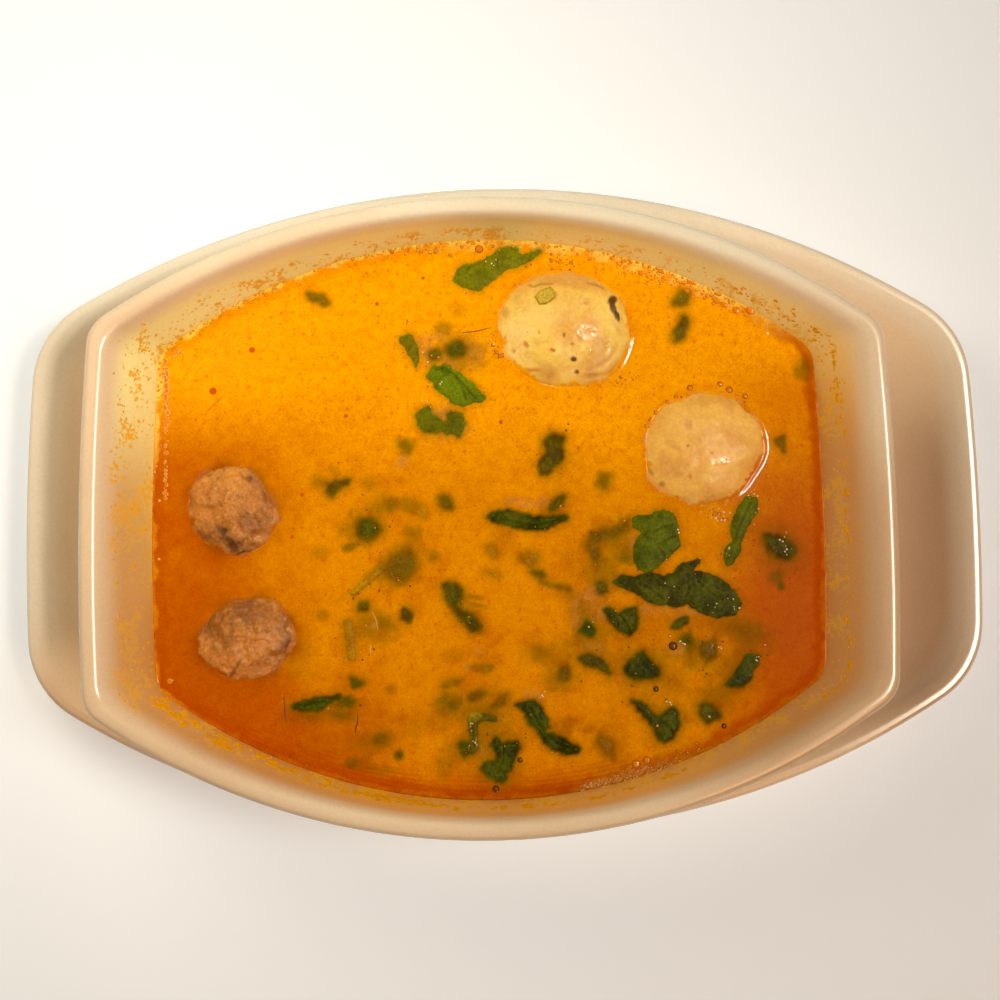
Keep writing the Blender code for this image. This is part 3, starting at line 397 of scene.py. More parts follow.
# Threads: line in pixels, radius in mm, colour
THREADS = [
    ([(406, 319), (407, 322), (406, 325)], 0.12, (176, 40, 0)),
    ([(462, 333), (476, 331), (491, 328)], 0.16, (176, 92, 12)),
    ([(205, 415), (214, 404), (225, 395)], 0.10, (206, 96, 4)),
    ([(284, 697), (285, 710), (286, 722)], 0.16, (120, 64, 8)),
    ([(358, 714), (357, 724), (355, 733)], 0.16, (120, 64, 8)),
    ([(372, 612), (376, 620), (378, 630)], 0.14, (226, 176, 66)),
    ([(371, 645), (370, 650), (371, 655)], 0.12, (226, 176, 66)),
]
# Smears of dried soup on the wall: noise at which they begin and are full, strength, colour
SMEARS = ((1.02, 1.14, 0.4, (250, 210, 36)), (1.10, 1.17, 0.8, (236, 166, 0)))
# Specks of spice: cells in mm, least and greatest radius in cells, share of cells, strength, colour
SPICE = (
    (1.1, 0.08, 0.24, 0.45, 0.36, (200, 84, 0)), (2.7, 0.07, 0.18, 0.5, 0.45, (200, 76, 0)),
    (5.5, 0.02, 0.045, 0.5, 0.7, (112, 50, 2)), (5.0, 0.05, 0.09, 0.5, 0.40, (186, 70, 0)),
)


# ---------------------------------------------------------------- numbers

CAMERA_AXES = np.array(Euler(CAMERA_TURN, "XYZ").to_matrix())


def linear(*screen):
    """Light of a 0-255 screen colour."""
    share = np.array(screen, float) / 255.0
    return np.where(share <= 0.04045, share / 12.92, ((share + 0.055) / 1.055) ** 2.4)


def spot(px, py, level=LEVEL):
    """Place in mm of a pixel on a level."""
    ray = CAMERA_AXES @ np.array(((px - CENTRE_PX[0]) / FOCAL_PX, (CENTRE_PX[1] - py) / FOCAL_PX, -1.0))
    return (CAMERA_PLACE + ray * ((level - CAMERA_PLACE[2]) / ray[2]))[:2]


def spots(pixels, level=LEVEL):
    """Places in mm of several pixels on a level."""
    return np.array([spot(x, y, level) for x, y in pixels])


def seen(points):
    """Pixels of places in mm."""
    local = (np.asarray(points, float) - CAMERA_PLACE) @ CAMERA_AXES
    return np.column_stack((CENTRE_PX[0] - FOCAL_PX * local[:, 0] / local[:, 2],
                            CENTRE_PX[1] + FOCAL_PX * local[:, 1] / local[:, 2]))


def on_level(xy, level=LEVEL):
    """Points with their height added."""
    return np.column_stack((xy, np.full(len(xy), level)))


def run_of(line):
    """Length along a line at each of its points."""
    return np.concatenate(([0.0], np.cumsum(np.linalg.norm(np.diff(line, axis=0), axis=1))))


def lattice(ix, iy, iz, seed):
    """Repeatable numbers from -1 to 1 at whole-number places."""
    bits = (ix * 374761393 + iy * 668265263 + iz * 1274126177 + seed * 362437) & 0xFFFFFFFF
    bits = ((bits ^ (bits >> 13)) * 1103515245) & 0xFFFFFFFF
    bits = ((bits ^ (bits >> 16)) * 668265263) & 0xFFFFFFFF
    return (bits ^ (bits >> 15)) / 2147483647.5 - 1.0


def wander(points, size, seed):
    """Smooth noise from -1 to 1 with lumps about `size` apart."""
    scaled = np.asarray(points, float) / size
    if scaled.shape[1] == 2:
        scaled = np.column_stack((scaled, np.zeros(len(scaled))))
    base = np.floor(scaled).astype(np.int64)
    part = scaled - base
    part = part * part * (3.0 - 2.0 * part)
    total = np.zeros(len(scaled))
    for corner in range(8):
        step = np.array((corner & 1, (corner >> 1) & 1, corner >> 2))
        weight = np.prod(np.where(step, part, 1.0 - part), axis=1)
        total += weight * lattice(*(base + step).T, seed)
    return total


def layered(points, size, seed, layers=3):
    """Noise with finer and weaker layers."""
    total = sum(wander(points, size / 2.0 ** k, seed + 17 * k) / 2.0 ** k for k in range(layers))
    return total / (2.0 - 2.0 ** (1 - layers))


def ramp(value, low, high):
    """0 at low, 1 at high, smooth between."""
    share = np.clip((np.asarray(value, float) - low) / (high - low), 0.0, 1.0)
    return share * share * (3.0 - 2.0 * share)


def mixed(first, second, share):
    """Colours mixed point by point; each may be one colour for all."""
    share = np.asarray(share)[:, None]
    return first * (1.0 - share) + second * share


def blot(pixels, x, y, a, b, turn, soft, wobble):
    """Elliptical mask round a pixel: half sizes, turn in degrees, softness, unevenness of its edge."""
    angle = radians(turn)
    dx, dy = pixels[:, 0] - x, y - pixels[:, 1]
    along = (dx * cos(angle) + dy * sin(angle)) / a
    across = (dy * cos(angle) - dx * sin(angle)) / b
    reach = np.sqrt(along ** 2 + across ** 2) + wobble * wander(pixels, 5.0, int(x + 31 * y))
    return 1.0 - ramp(reach, 1.0 - soft, 1.0 + soft)


def patched(tint, points, shade, size, seed, low, high, share):
    """Tint with patches of a shade where a layered noise passes from low to high."""
    return mixed(tint, linear(*shade), ramp(layered(points, size, seed), low, high) * share)


def spotted(tint, pixels, marks, soft, wobble):
    """Tint with marks of their own shades, whose edges are `soft` but for the strongest marks."""
    for x, y, a, b, turn, strength, shade in marks:
        edge = 0.25 if strength > FIRM else soft
        tint = mixed(tint, linear(*shade), blot(pixels, x, y, a, b, turn, edge, wobble) * strength)
    return tint


def loop_distance(points, loop):
    """Distance to a closed loop, positive inside."""
    start, stop = loop, np.roll(loop, -1, axis=0)
    nearest = np.full(len(points), 1e9)
    inside = np.zeros(len(points), bool)
    x, y = points[:, 0], points[:, 1]
    for (ax, ay), (bx, by) in zip(start, stop):
        ux, uy = bx - ax, by - ay
        share = np.clip(((x - ax) * ux + (y - ay) * uy) / max(ux * ux + uy * uy, 1e-12), 0.0, 1.0)
        nearest = np.minimum(nearest, (x - ax - share * ux) ** 2 + (y - ay - share * uy) ** 2)
        if ay != by:
            crosses = ((ay > y) != (by > y)) & (x < (bx - ax) * (y - ay) / (by - ay) + ax)
            inside ^= crosses
    return np.where(inside, 1.0, -1.0) * np.sqrt(nearest)


def line_distance(points, line):
    """Distance to an open line."""
    nearest = np.full(len(points), 1e9)
    for first, second in zip(line, line[1:]):
        ahead = np.subtract(second, first)
        share = np.clip((points - first) @ ahead / (ahead @ ahead), 0.0, 1.0)
        nearest = np.minimum(nearest, np.linalg.norm(points - first - share[:, None] * ahead, axis=1))
    return nearest


def stroke(pixels, line, width):
    """Soft mask along a line of pixels."""
    return 1.0 - ramp(line_distance(pixels, np.array(line, float)), 0.4 * width, width)


# ---------------------------------------------------------------- meshes

def piece(name, solid, material, masks=None):
    """Object from (points in mm, faces, colours), with colours and masks kept on its points."""
    points, faces, tints = solid
    mesh = bpy.data.meshes.new(name)
    mesh.from_pydata((points * MM).tolist(), [], faces)
    mesh.shade_smooth()
    layer = mesh.attributes.new("tint", "FLOAT_COLOR", "POINT")
    shown = np.column_stack((np.clip(tints, 0.0, 1.0), np.ones(len(tints))))
    layer.data.foreach_set("color", shown.astype(np.float32).ravel())
    for label, values in (masks or {}).items():
        layer = mesh.attributes.new(label, "FLOAT", "POINT")
        layer.data.foreach_set("value", np.asarray(values, np.float32))
    mesh.materials.append(material)
    made = bpy.data.objects.new(name, mesh)
    bpy.context.collection.objects.link(made)
    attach(made, "root")
    return made


def ring_faces(rings, count):
    """Quads between rings of `count` points each, and the two end caps."""
    faces = []
    for ring in range(rings - 1):
        low, high = ring * count, (ring + 1) * count
        faces += [(low + i, low + (i + 1) % count, high + (i + 1) % count, high + i)
                  for i in range(count)]
    last = (rings - 1) * count
    return faces + [tuple(reversed(range(count))), tuple(range(last, last + count))]


def barrel(half_length, half_width, end_half_width, end_bow, corner_radius):
    """Outline with bowed ends and sides and round corners, anticlockwise from +X, as shares."""
    rise, run = half_width - end_half_width, half_length - end_bow
    side = (run * run + rise * rise) / (2.0 * rise)
    end = (end_half_width ** 2 + end_bow ** 2) / (2.0 * end_bow)
    side_centre, end_centre = np.array((0.0, half_width - side)), np.array((half_length - end, 0.0))
    span = end_centre - side_centre
    reach = np.linalg.norm(span)
    first, second = side - corner_radius, end - corner_radius
    along = (reach ** 2 + first ** 2 - second ** 2) / (2.0 * reach)
    ahead = span / reach
    across = sqrt(first ** 2 - along ** 2) * np.array((-ahead[1], ahead[0]))
    corner = max(side_centre + along * ahead + across, side_centre + along * ahead - across,
                 key=lambda point: point[1])
    stop = atan2(*(corner - end_centre)[::-1])
    start = atan2(*(corner - side_centre)[::-1])
    quarter = []
    for centre, radius, low, high, steps in (
            (end_centre, end, 0.0, stop, OUTLINE_STEPS[0]),
            (corner, corner_radius, stop, start, OUTLINE_STEPS[1]),
            (side_centre, side, start, pi / 2.0, OUTLINE_STEPS[2])):
        for i in range(steps):
            angle = low + (high - low) * i / steps
            quarter.append(centre + radius * np.array((cos(angle), sin(angle))))
    quarter = np.array(quarter + [np.array((0.0, half_width))])
    full = np.concatenate((quarter, quarter[-2::-1] * (-1, 1), quarter[1:] * (-1, -1),
                           quarter[-2:0:-1] * (1, -1)))
    return full / (half_length, half_width)


def smooth_rings(rings, steps):
    """Rings along a smooth line through the given ones."""
    rings = np.array(rings, float)
    gaps = np.linalg.norm(np.diff(rings, axis=0), axis=1)
    slopes = np.gradient(rings, run_of(rings), axis=0)
    made = []
    for i, gap in enumerate(gaps):
        for t in np.arange(steps) / steps:
            made.append(rings[i] * (2 * t ** 3 - 3 * t ** 2 + 1)
                        + slopes[i] * gap * (t ** 3 - 2 * t ** 2 + t)
                        + rings[i + 1] * (3 * t ** 2 - 2 * t ** 3)
                        + slopes[i + 1] * gap * (t ** 3 - t ** 2))
    made = np.array(made + [rings[-1]])
    made[:, 2] = np.clip(made[:, 2], rings[:, 2].min(), rings[:, 2].max())
    return made


def solid_points(outline, rings, shift=(0.0, 0.0)):
    """Points of rings of (half length, half width, height) round an outline."""
    return np.concatenate([np.column_stack((shift[0] + length * outline[:, 0],
                                            shift[1] + width * outline[:, 1],
                                            np.full(len(outline), height)))
                           for length, width, height in rings])


def wall_ring(share):
    """Inner wall of the bowl at a share of the way up."""
    over = WALL_RISE * share
    overlap = np.maximum(FLOOR_BLEND - np.abs(over), 0.0)
    height = BOWL_FLOOR + np.maximum(over, 0.0) + overlap * overlap / (4.0 * FLOOR_BLEND)
    return (BOWL_SIZE[0] - LIP_WIDTH - END_FLARE * (1.0 - share),
            BOWL_SIZE[1] - LIP_WIDTH - SIDE_FLARE * (1.0 - share) ** SIDE_FLARE_POWER,
            BOWL_BASE + height)


def wall_share(rise):
    """Share of the way up the inner wall, from mm over the soup's level."""
    return (LEVEL + rise - BOWL_BASE - BOWL_FLOOR) / WALL_RISE


def wall_place(around, rise):
    """Places on the inner wall: share of the way round from +X, and mm over the soup's level."""
    closed = np.vstack((BOWL_OUTLINE, BOWL_OUTLINE[:1]))
    run = run_of(closed * BOWL_SIZE[:2])
    at = (np.asarray(around) % 1.0) * run[-1]
    length, width, height = wall_ring(wall_share(rise))
    return np.column_stack((BOWL_SHIFT[0] + np.interp(at, run, closed[:, 0]) * length,
                            BOWL_SHIFT[1] + np.interp(at, run, closed[:, 1]) * width,
                            height + np.zeros(len(at))))


# The bowl's far cream is painted light and its dull cream painted shade; the tray's rim cream is painted
# light and its dull cream painted shade.
CREAM, CREAM_PAINTED_LIGHT, CREAM_PAINTED_SHADE = linear(243, 228, 202), linear(246, 244, 226), linear(222, 194, 160)
TRAY_CREAM, TRAY_RIM_PAINTED_LIGHT, TRAY_PAINTED_SHADE = linear(252, 233, 202), linear(255, 250, 234), linear(224, 198, 168)
# The washes and edge films are a film of soup on the wall, darker on the near side, the left and the right
# as painted shade and paler on the far side as painted light.
WASH_AND_PAINTED_LIGHT_FAR, WASH_AND_PAINTED_SHADE_NEAR = linear(255, 250, 180), linear(246, 192, 106)
WASH_AND_PAINTED_SHADE_LEFT, WASH_AND_PAINTED_SHADE_RIGHT = linear(216, 168, 106), linear(216, 164, 106)
EDGE_FILM_AND_PAINTED_LIGHT_FAR, EDGE_FILM_AND_PAINTED_SHADE_NEAR = linear(255, 216, 110), linear(200, 124, 40)
BOWL_OUTLINE = barrel(*BOWL_SIZE)
# The soup's edge: half sizes in mm and its loop on the wall
EDGE_SIZE = wall_ring(wall_share(0.5))[:2]
SOUP_LOOP = BOWL_OUTLINE * EDGE_SIZE + BOWL_SHIFT


# ---------------------------------------------------------------- finishes

def finish(name, specular, roughness=0.3, coat=0.0):
    """Principled material, its node tree and its shader."""
    made = bpy.data.materials.new(name)
    made.use_nodes = True
    tree = made.node_tree
    shader = tree.nodes["Principled BSDF"]
    shader.inputs["Roughness"].default_value = roughness
    shader.inputs["Specular IOR Level"].default_value = specular
    shader.inputs["Coat Weight"].default_value = coat
    shader.inputs["Coat Roughness"].default_value = 0.06
    return made, tree, shader


def node(tree, kind, settings=None, **inputs):
    """Node with its settings and its inputs, which are values or sockets."""
    made = tree.nodes.new("ShaderNode" + kind)
    for key, value in (settings or {}).items():
        setattr(made, key, value)
    for key, value in inputs.items():
        socket = made.inputs[int(key[1:])] if key[0] == "i" and key[1:].isdigit() else made.inputs[key]
        if hasattr(value, "is_linked"):
            tree.links.new(value, socket)
        else:
            socket.default_value = value
    return made


def coordinates(tree):
    """Place on the object, in metres."""
    return node(tree, "TexCoord").outputs["Object"]


def noise_of(tree, where, size, detail=3.0, rough=0.5):
    """Noise from 0 to 1 with lumps about `size` mm apart."""
    return node(tree, "TexNoise", Vector=where, Scale=1.0 / (size * MM), Detail=detail,
                Roughness=rough).outputs["Fac"]


def spread(tree, value, low, high, to_low=0.0, to_high=1.0):
    """Value mapped from one range to another, clamped."""
    return node(tree, "MapRange", {"interpolation_type": "SMOOTHSTEP"}, i0=value, i1=low, i2=high,
                i3=to_low, i4=to_high).outputs["Result"]


def arith(tree, operation, first, second):
    """Result of one operation on two values."""
    return node(tree, "Math", {"operation": operation}, i0=first, i1=second).outputs[0]


def blend(tree, share, first, second, way="MIX"):
    """Colour mixed from two colours."""
    made = node(tree, "Mix", {"data_type": "RGBA", "blend_type": way}, i0=share)
    for socket, value in ((made.inputs[6], first), (made.inputs[7], second)):
        if hasattr(value, "is_linked"):
            tree.links.new(value, socket)
        else:
            socket.default_value = (*value, 1.0)
    return made.outputs[2]


def times(tree, base, factors):
    """Colour multiplied by three factors."""
    return blend(tree, 1.0, base, factors, "MULTIPLY")


def varied(tree, base, share, low, high):
    """Colour multiplied by the factors `low` where the share is 0 and by `high` where it is 1."""
    return blend(tree, share, times(tree, base, low), times(tree, base, high))


def marked(tree, base, mask, strength, shade):
    """Colour with a shade laid over it by a mask."""
    return blend(tree, arith(tree, "MULTIPLY", mask, strength), base, linear(*shade))


def tint_of(tree):
    """Colour kept on the points."""
    return node(tree, "Attribute", {"attribute_name": "tint"}).outputs["Color"]


def mask_of(tree, label):
    """Mask kept on the points."""
    return node(tree, "Attribute", {"attribute_name": label}).outputs["Fac"]


def bumped(tree, shader, height, depth):
    """Relief of `depth` mm from a height of 0 to 1."""
    made = node(tree, "Bump", Height=height, Distance=depth * MM, Strength=1.0)
    tree.links.new(made.outputs["Normal"], shader.inputs["Normal"])


def specks(tree, where, size, least, most, share, flat=False):
    """Mask of round specks: cells of `size` mm, radius in cells, share of cells that have one."""
    cells = node(tree, "TexVoronoi", {"voronoi_dimensions": "2D" if flat else "3D"}, Vector=where,
                 Scale=1.0 / (size * MM), Randomness=1.0)
    split = node(tree, "SeparateColor", Color=cells.outputs["Color"])
    radius = node(tree, "Math", {"operation": "MULTIPLY_ADD"}, i0=split.outputs[0], i1=most - least,
                  i2=least).outputs[0]
    near = arith(tree, "SUBTRACT", radius, cells.outputs["Distance"])
    mask = spread(tree, near, 0.0, 0.04)
    chosen = arith(tree, "LESS_THAN", split.outputs[1], share)
    return arith(tree, "MULTIPLY", mask, chosen)


def porcelain(name, residue=False):
    """Cream glaze with faint unevenness and small pits, and smears of soup where it has residue."""
    made, tree, shader = finish(name, roughness=0.22, specular=0.45, coat=0.08)
    where = coordinates(tree)
    base = tint_of(tree)
    cloud = spread(tree, noise_of(tree, where, 38.0), 0.3, 0.7)
    base = blend(tree, cloud, base, times(tree, base, (0.95, 0.94, 0.91)))
    fine = spread(tree, noise_of(tree, where, 0.7), 0.35, 0.75, 0.0, 0.5)
    base = blend(tree, fine, base, times(tree, base, (0.93, 0.88, 0.78)))
    base = marked(tree, base, specks(tree, where, 9.0, 0.012, 0.028, 0.20), 0.55, (120, 88, 52))
    if residue:
        clump = noise_of(tree, where, 7.0, 2.0)
        patch = arith(tree, "ADD", noise_of(tree, where, 1.1, 4.0, 0.6), clump)
        band = mask_of(tree, "residue")
        for low, high, strength, shade in SMEARS:
            smear = arith(tree, "MULTIPLY", spread(tree, patch, low, high), band)
            base = marked(tree, base, smear, strength, shade)
    tree.links.new(base, shader.inputs["Base Color"])
    bumped(tree, shader, noise_of(tree, where, 14.0, 2.0), 0.06)
    return made


def soup_finish():
    """Opaque orange soup with fine grain, specks of spice and an oily gloss."""
    made, tree, shader = finish("coconut_soup", roughness=0.07, specular=0.16)
    where = coordinates(tree)
    grain = spread(tree, noise_of(tree, where, 0.5, 3.0, 0.65), 0.3, 0.7)
    base = varied(tree, tint_of(tree), grain, (0.91, 0.80, 1.0), (1.05, 1.12, 1.0))
    cloud = spread(tree, noise_of(tree, where, 2.4, 4.0, 0.6), 0.42, 0.70, 0.0, 0.7)
    base = blend(tree, cloud, base, times(tree, base, (0.90, 0.74, 1.0)))
    bare = arith(tree, "SUBTRACT", 1.0, mask_of(tree, "calm"))
    for size, least, most, share, strength, shade in SPICE:
        dots = specks(tree, where, size, least, most, share, True)
        base = marked(tree, base, arith(tree, "MULTIPLY", dots, bare), strength, shade)
    tree.links.new(base, shader.inputs["Base Color"])
    bumped(tree, shader, noise_of(tree, where, 3.0, 2.0, 0.5), 0.015)
    return made


def herb_finish(name, roughness):
    """Wet leaf or stem: colour from the points, fine mottling; mostly dull, with small wet beads."""
    made, tree, shader = finish(name, specular=0.05)
    where = coordinates(tree)
    mottle = spread(tree, noise_of(tree, where, 0.6, 4.0, 0.65), 0.3, 0.7)
    base = varied(tree, tint_of(tree), mottle, (0.72, 0.74, 0.8), (1.24, 1.20, 1.1))
    tree.links.new(base, shader.inputs["Base Color"])
    beads = noise_of(tree, where, 1.3, 2.0, 0.5)
    tree.links.new(spread(tree, beads, 0.60, 0.68, roughness, 0.08), shader.inputs["Roughness"])
    bumped(tree, shader, noise_of(tree, where, 0.6, 3.0, 0.6), 0.09)
    return made


def ball_finish(name, roughness, grain_size, relief, contrast, speck):
    """Cooked ball: colour from the points, grain, small specks and fine relief, wetter where masked."""
    made, tree, shader = finish(name, specular=0.35)
    where = coordinates(tree)
    grain = spread(tree, noise_of(tree, where, grain_size, 5.0, 0.65), 0.32, 0.68)
    low = tuple(1.0 - contrast * share for share in (0.8, 1.1, 1.5))
    high = tuple(1.0 + contrast * share for share in (0.5, 0.7, 1.1))
    base = varied(tree, tint_of(tree), grain, low, high)
    base = marked(tree, base, specks(tree, where, 2.4, 0.03, 0.09, 0.3), speck, (176, 96, 18))
    tree.links.new(base, shader.inputs["Base Color"])
    wet = mask_of(tree, "wet")
    gloss = node(tree, "MapRange", i0=wet, i3=roughness, i4=0.07).outputs["Result"]
    tree.links.new(gloss, shader.inputs["Roughness"])
    rough_skin = noise_of(tree, where, grain_size * 1.3, 4.0, 0.6)
    beads = arith(tree, "MULTIPLY", noise_of(tree, where, 0.6, 1.0, 0.5), 0.9)
    bumped(tree, shader, blend(tree, wet, rough_skin, beads), relief)
    return made


# ---------------------------------------------------------------- porcelain

def tray_tint(points):
    """Glaze with painted light on the rim away from the near side, and painted shade low on the near right
    and the left, where the bowl shades the tray.
    """
    pixels = seen(points)
    x, y = pixels[:, 0], pixels[:, 1]
    painted_shade_right = ramp(x, 860, 930) * ramp(y, 380, 480)
    painted_shade_left = 0.5 * (1.0 - ramp(x, 80, 160)) * ramp(y, 340, 440)
    tint = mixed(TRAY_CREAM, TRAY_PAINTED_SHADE, np.maximum(painted_shade_right, painted_shade_left))
    # Painted light on the rim, except on the near side.
    rim = ramp(points[:, 2], 15.0, 19.0) * (1.0 - ramp(y, 600, 740))
    return mixed(tint, TRAY_RIM_PAINTED_LIGHT, 0.9 * rim)


def make_tray():
    """The whole tray as one solid."""
    outline = barrel(*TRAY_SIZE)
    rings = smooth_rings(TRAY_SECTIONS, 5)
    points = solid_points(outline, rings)
    solid = points, ring_faces(len(rings), len(outline)), tray_tint(points)
    made = piece("tray_glazed", solid, porcelain("porcelain_tray"))
    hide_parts("tray")


def glaze_tint(pixels):
    """Cream glaze of the bowl, with painted light at the far side and painted shade at the near right and
    the left.
    """
    x, y = pixels[:, 0], pixels[:, 1]
    far = (1.0 - ramp(y, 240, 330)) * ramp(x, 300, 450)
    painted_shade_right = ramp(x, 600, 800) * ramp(y, 400, 520)
    painted_shade_left = 0.5 * (1.0 - ramp(x, 180, 330)) * ramp(y, 230, 330)
    return mixed(mixed(CREAM, CREAM_PAINTED_LIGHT, far), CREAM_PAINTED_SHADE, np.maximum(painted_shade_right, painted_shade_left))


def bowl_tint(points, pixels, above):
    """Cream wall with a thin wash of soup, from mm over its level, stronger on the near side; the wash is
    darker on the near side, the left and the right as painted shade, and paler far off as painted light.
    """
    x, y = pixels[:, 0], pixels[:, 1]
    # Wash of soup film, with painted shade on the near side, the left and the right, and painted light far
    # off.
    low = ramp(y + 0.35 * (x - 500.0), 330, 560)
    left = (1.0 - ramp(x, 180, 420)) * ramp(y, 380, 520)
    right = ramp(x, 640, 840)
    wash = mixed(WASH_AND_PAINTED_LIGHT_FAR, WASH_AND_PAINTED_SHADE_NEAR, low)
    wash = mixed(wash, WASH_AND_PAINTED_SHADE_LEFT, left)
    wash = mixed(wash, WASH_AND_PAINTED_SHADE_RIGHT, right * ramp(y, 360, 480))
    # Film at the soup's edge: darker on the near side and the right as painted shade, paler far off as
    # painted light.
    edge = mixed(EDGE_FILM_AND_PAINTED_LIGHT_FAR, EDGE_FILM_AND_PAINTED_SHADE_NEAR, np.maximum(low, right * ramp(y, 300, 400)))
    share = (0.9 + 0.1 * low) * (1.0 - ramp(above, 6.0, 11.0))
    tint = mixed(glaze_tint(pixels), wash, share)
    ragged = np.maximum(above + 1.2 * layered(points, 9.0, 5), 0.0)
    film = (0.45 + 0.17 * low) * np.exp(-ragged / 3.2) + 0.3 * np.exp(-above / 0.8)
    return mixed(tint, edge, np.minimum(film, 0.95))


def residue_mask(pixels, above):
    """Where dried soup sticks to the wall: a band over the soup, fuller far left and in front."""
    x, y = pixels[:, 0], pixels[:, 1]
    far_left = (1.0 - ramp(x, 420, 620)) * (1.0 - ramp(y, 560, 700))
    front = ramp(y, 640, 720) * (1.0 - ramp(x, 520, 620))
    higher = 4.5 * (1.0 - ramp(x, 150, 260))
    band = 1.0 - ramp(above, 3.5 + higher, 6.0 + higher)
    calmer = 1.0 - 0.45 * ramp(y, 450, 520) * (1.0 - ramp(x, 180, 260))
    return band * calmer * (0.55 + 0.45 * np.maximum(far_left, front))


def make_bowl():
    """The whole bowl as one solid, from its foot over the lip and down to its floor."""
    rings = [(length, width, BOWL_BASE + height) for length, width, height in FOOT_SECTIONS]
    for share in OUTER_SHARES:
        length, width, _ = wall_ring(share)
        rings.append((length + END_WALL, width + SIDE_WALL, BOWL_BASE + BOWL_FLOOR + WALL_RISE * share))
    rings += [(BOWL_SIZE[0] - inset, BOWL_SIZE[1] - inset, BOWL_BASE + height)
              for inset, height in LIP_SECTIONS]
    inner = np.array([wall_ring(share) for share in np.linspace(LIP_SHARE, WALL_FOOT, WALL_RINGS)])
    rings = np.concatenate((smooth_rings(rings + [inner[0], inner[3]], 6)[:-7], inner))
    points = solid_points(BOWL_OUTLINE, rings, BOWL_SHIFT)
    count = len(BOWL_OUTLINE)
    inside = np.repeat(np.arange(len(rings)) >= len(rings) - len(inner) - 6, count)
    above = np.maximum(points[:, 2] - LEVEL, 0.0)
    pixels = seen(points)
    tint = glaze_tint(pixels)
    tint[inside] = bowl_tint(points[inside], pixels[inside], above[inside])
    masks = {"residue": inside * residue_mask(pixels, above)}
    solid = points, ring_faces(len(rings), count), tint
    made = piece("bowl_glazed", solid, porcelain("porcelain_bowl", True), masks)
    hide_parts("bowl")


# ---------------------------------------------------------------- balls

def ball_swell(ball, rays):
    """Share by which a ball's surface stands out along rays."""
    flat = np.hypot(rays[:, 0], rays[:, 1])
    around = np.arctan2(rays[:, 1], rays[:, 0])
    lumps = np.array([noise.noise(Vector(ray) * 1.9 + Vector((ball.seed,) * 3)) for ray in rays])
    swell = ball.lump * lumps + ball.corner * flat * np.cos(5.0 * around + ball.seed)
    return 1.0 + np.minimum(1.0, 2.5 * flat) * swell


def ball_plan(ball, rays, swell):
    """Places in plan of a ball's surface along rays."""
    x, y = ball.half_length * swell * rays[:, 0], ball.half_width * swell * rays[:, 1]
    c, s = cos(radians(ball.turn)), sin(radians(ball.turn))
    return np.column_stack((ball.x + x * c - y * s, ball.y + x * s + y * c))


def waterline(ball):
    """Loop where a ball's surface meets the soup's level."""
    up = ball.depth / (ball.height + ball.depth)
    around = np.arange(WATERLINE_STEPS) * 2.0 * pi / WATERLINE_STEPS
    rays = np.column_stack((np.cos(around) * sqrt(1 - up * up), np.sin(around) * sqrt(1 - up * up),
                            np.full(WATERLINE_STEPS, up)))
    return ball_plan(ball, rays, ball_swell(ball, rays))


WATERLINES = [waterline(ball) for ball in BALLS]


def ball_points(ball, segments, rings, relief):
    """Points of a ball from its top to its underside, with fine relief in mm."""
    polar = pi * np.arange(1, rings) / rings
    around = 2.0 * pi * np.arange(segments) / segments
    p, a = np.meshgrid(polar, around, indexing="ij")
    rays = np.column_stack((np.sin(p).ravel() * np.cos(a).ravel(), np.sin(p).ravel() * np.sin(a).ravel(),
                            np.cos(p).ravel()))
    rays = np.concatenate((rays, [(0.0, 0.0, 1.0), (0.0, 0.0, -1.0)]))
    swell = ball_swell(ball, rays)
    reach = np.where(rays[:, 2] > 0, ball.height + ball.depth, ball.underside - ball.depth)
    points = np.column_stack((ball_plan(ball, rays, swell),
                              LEVEL - ball.depth + reach * swell * rays[:, 2]))
    return points + rays * relief(points)[:, None]


def ball_faces(segments, rings):
    """Faces of a ball's points: quads between its rings and triangles at both ends."""
    faces = []
    for ring in range(rings - 2):
        low, high = ring * segments, (ring + 1) * segments
        faces += [(low + i, high + i, high + (i + 1) % segments, low + (i + 1) % segments)
                  for i in range(segments)]
    top, bottom, last = (rings - 1) * segments, (rings - 1) * segments + 1, (rings - 2) * segments
    faces += [(top, i, (i + 1) % segments) for i in range(segments)]
    faces += [(bottom, last + (i + 1) % segments, last + i) for i in range(segments)]
    return faces


def pale_tint(ball, points):
    """Cream of a fish ball with browner and paler patches."""
    first = ball is BALLS[0]
    light, brown = ((254, 220, 102), (232, 166, 70)) if first else ((250, 202, 96), (232, 168, 78))
    tint = patched(linear(*light), points, brown, 6.0, int(ball.seed * 10), -0.3, 0.6, 0.75)
    tint = patched(tint, points, (200, 130, 60), 2.4, int(ball.seed * 20), 0.1, 0.8, 0.25)
    return patched(tint, points, (255, 226, 140), 3.4, int(ball.seed * 30), 0.2, 0.8, 0.55)


def ball_share(index, xy):
    """Share of a ball that shows near its waterline, where the soup laps over its ragged rim."""
    inside = loop_distance(xy, WATERLINES[index])
    lap = 1.5 if index < 2 else 2.2
    ragged = inside - 0.3 + lap * layered(xy, 3.6, 900 + index) + 0.5 * wander(xy, 0.8, 930 + index)
    return ramp(ragged, -0.1, 0.55)


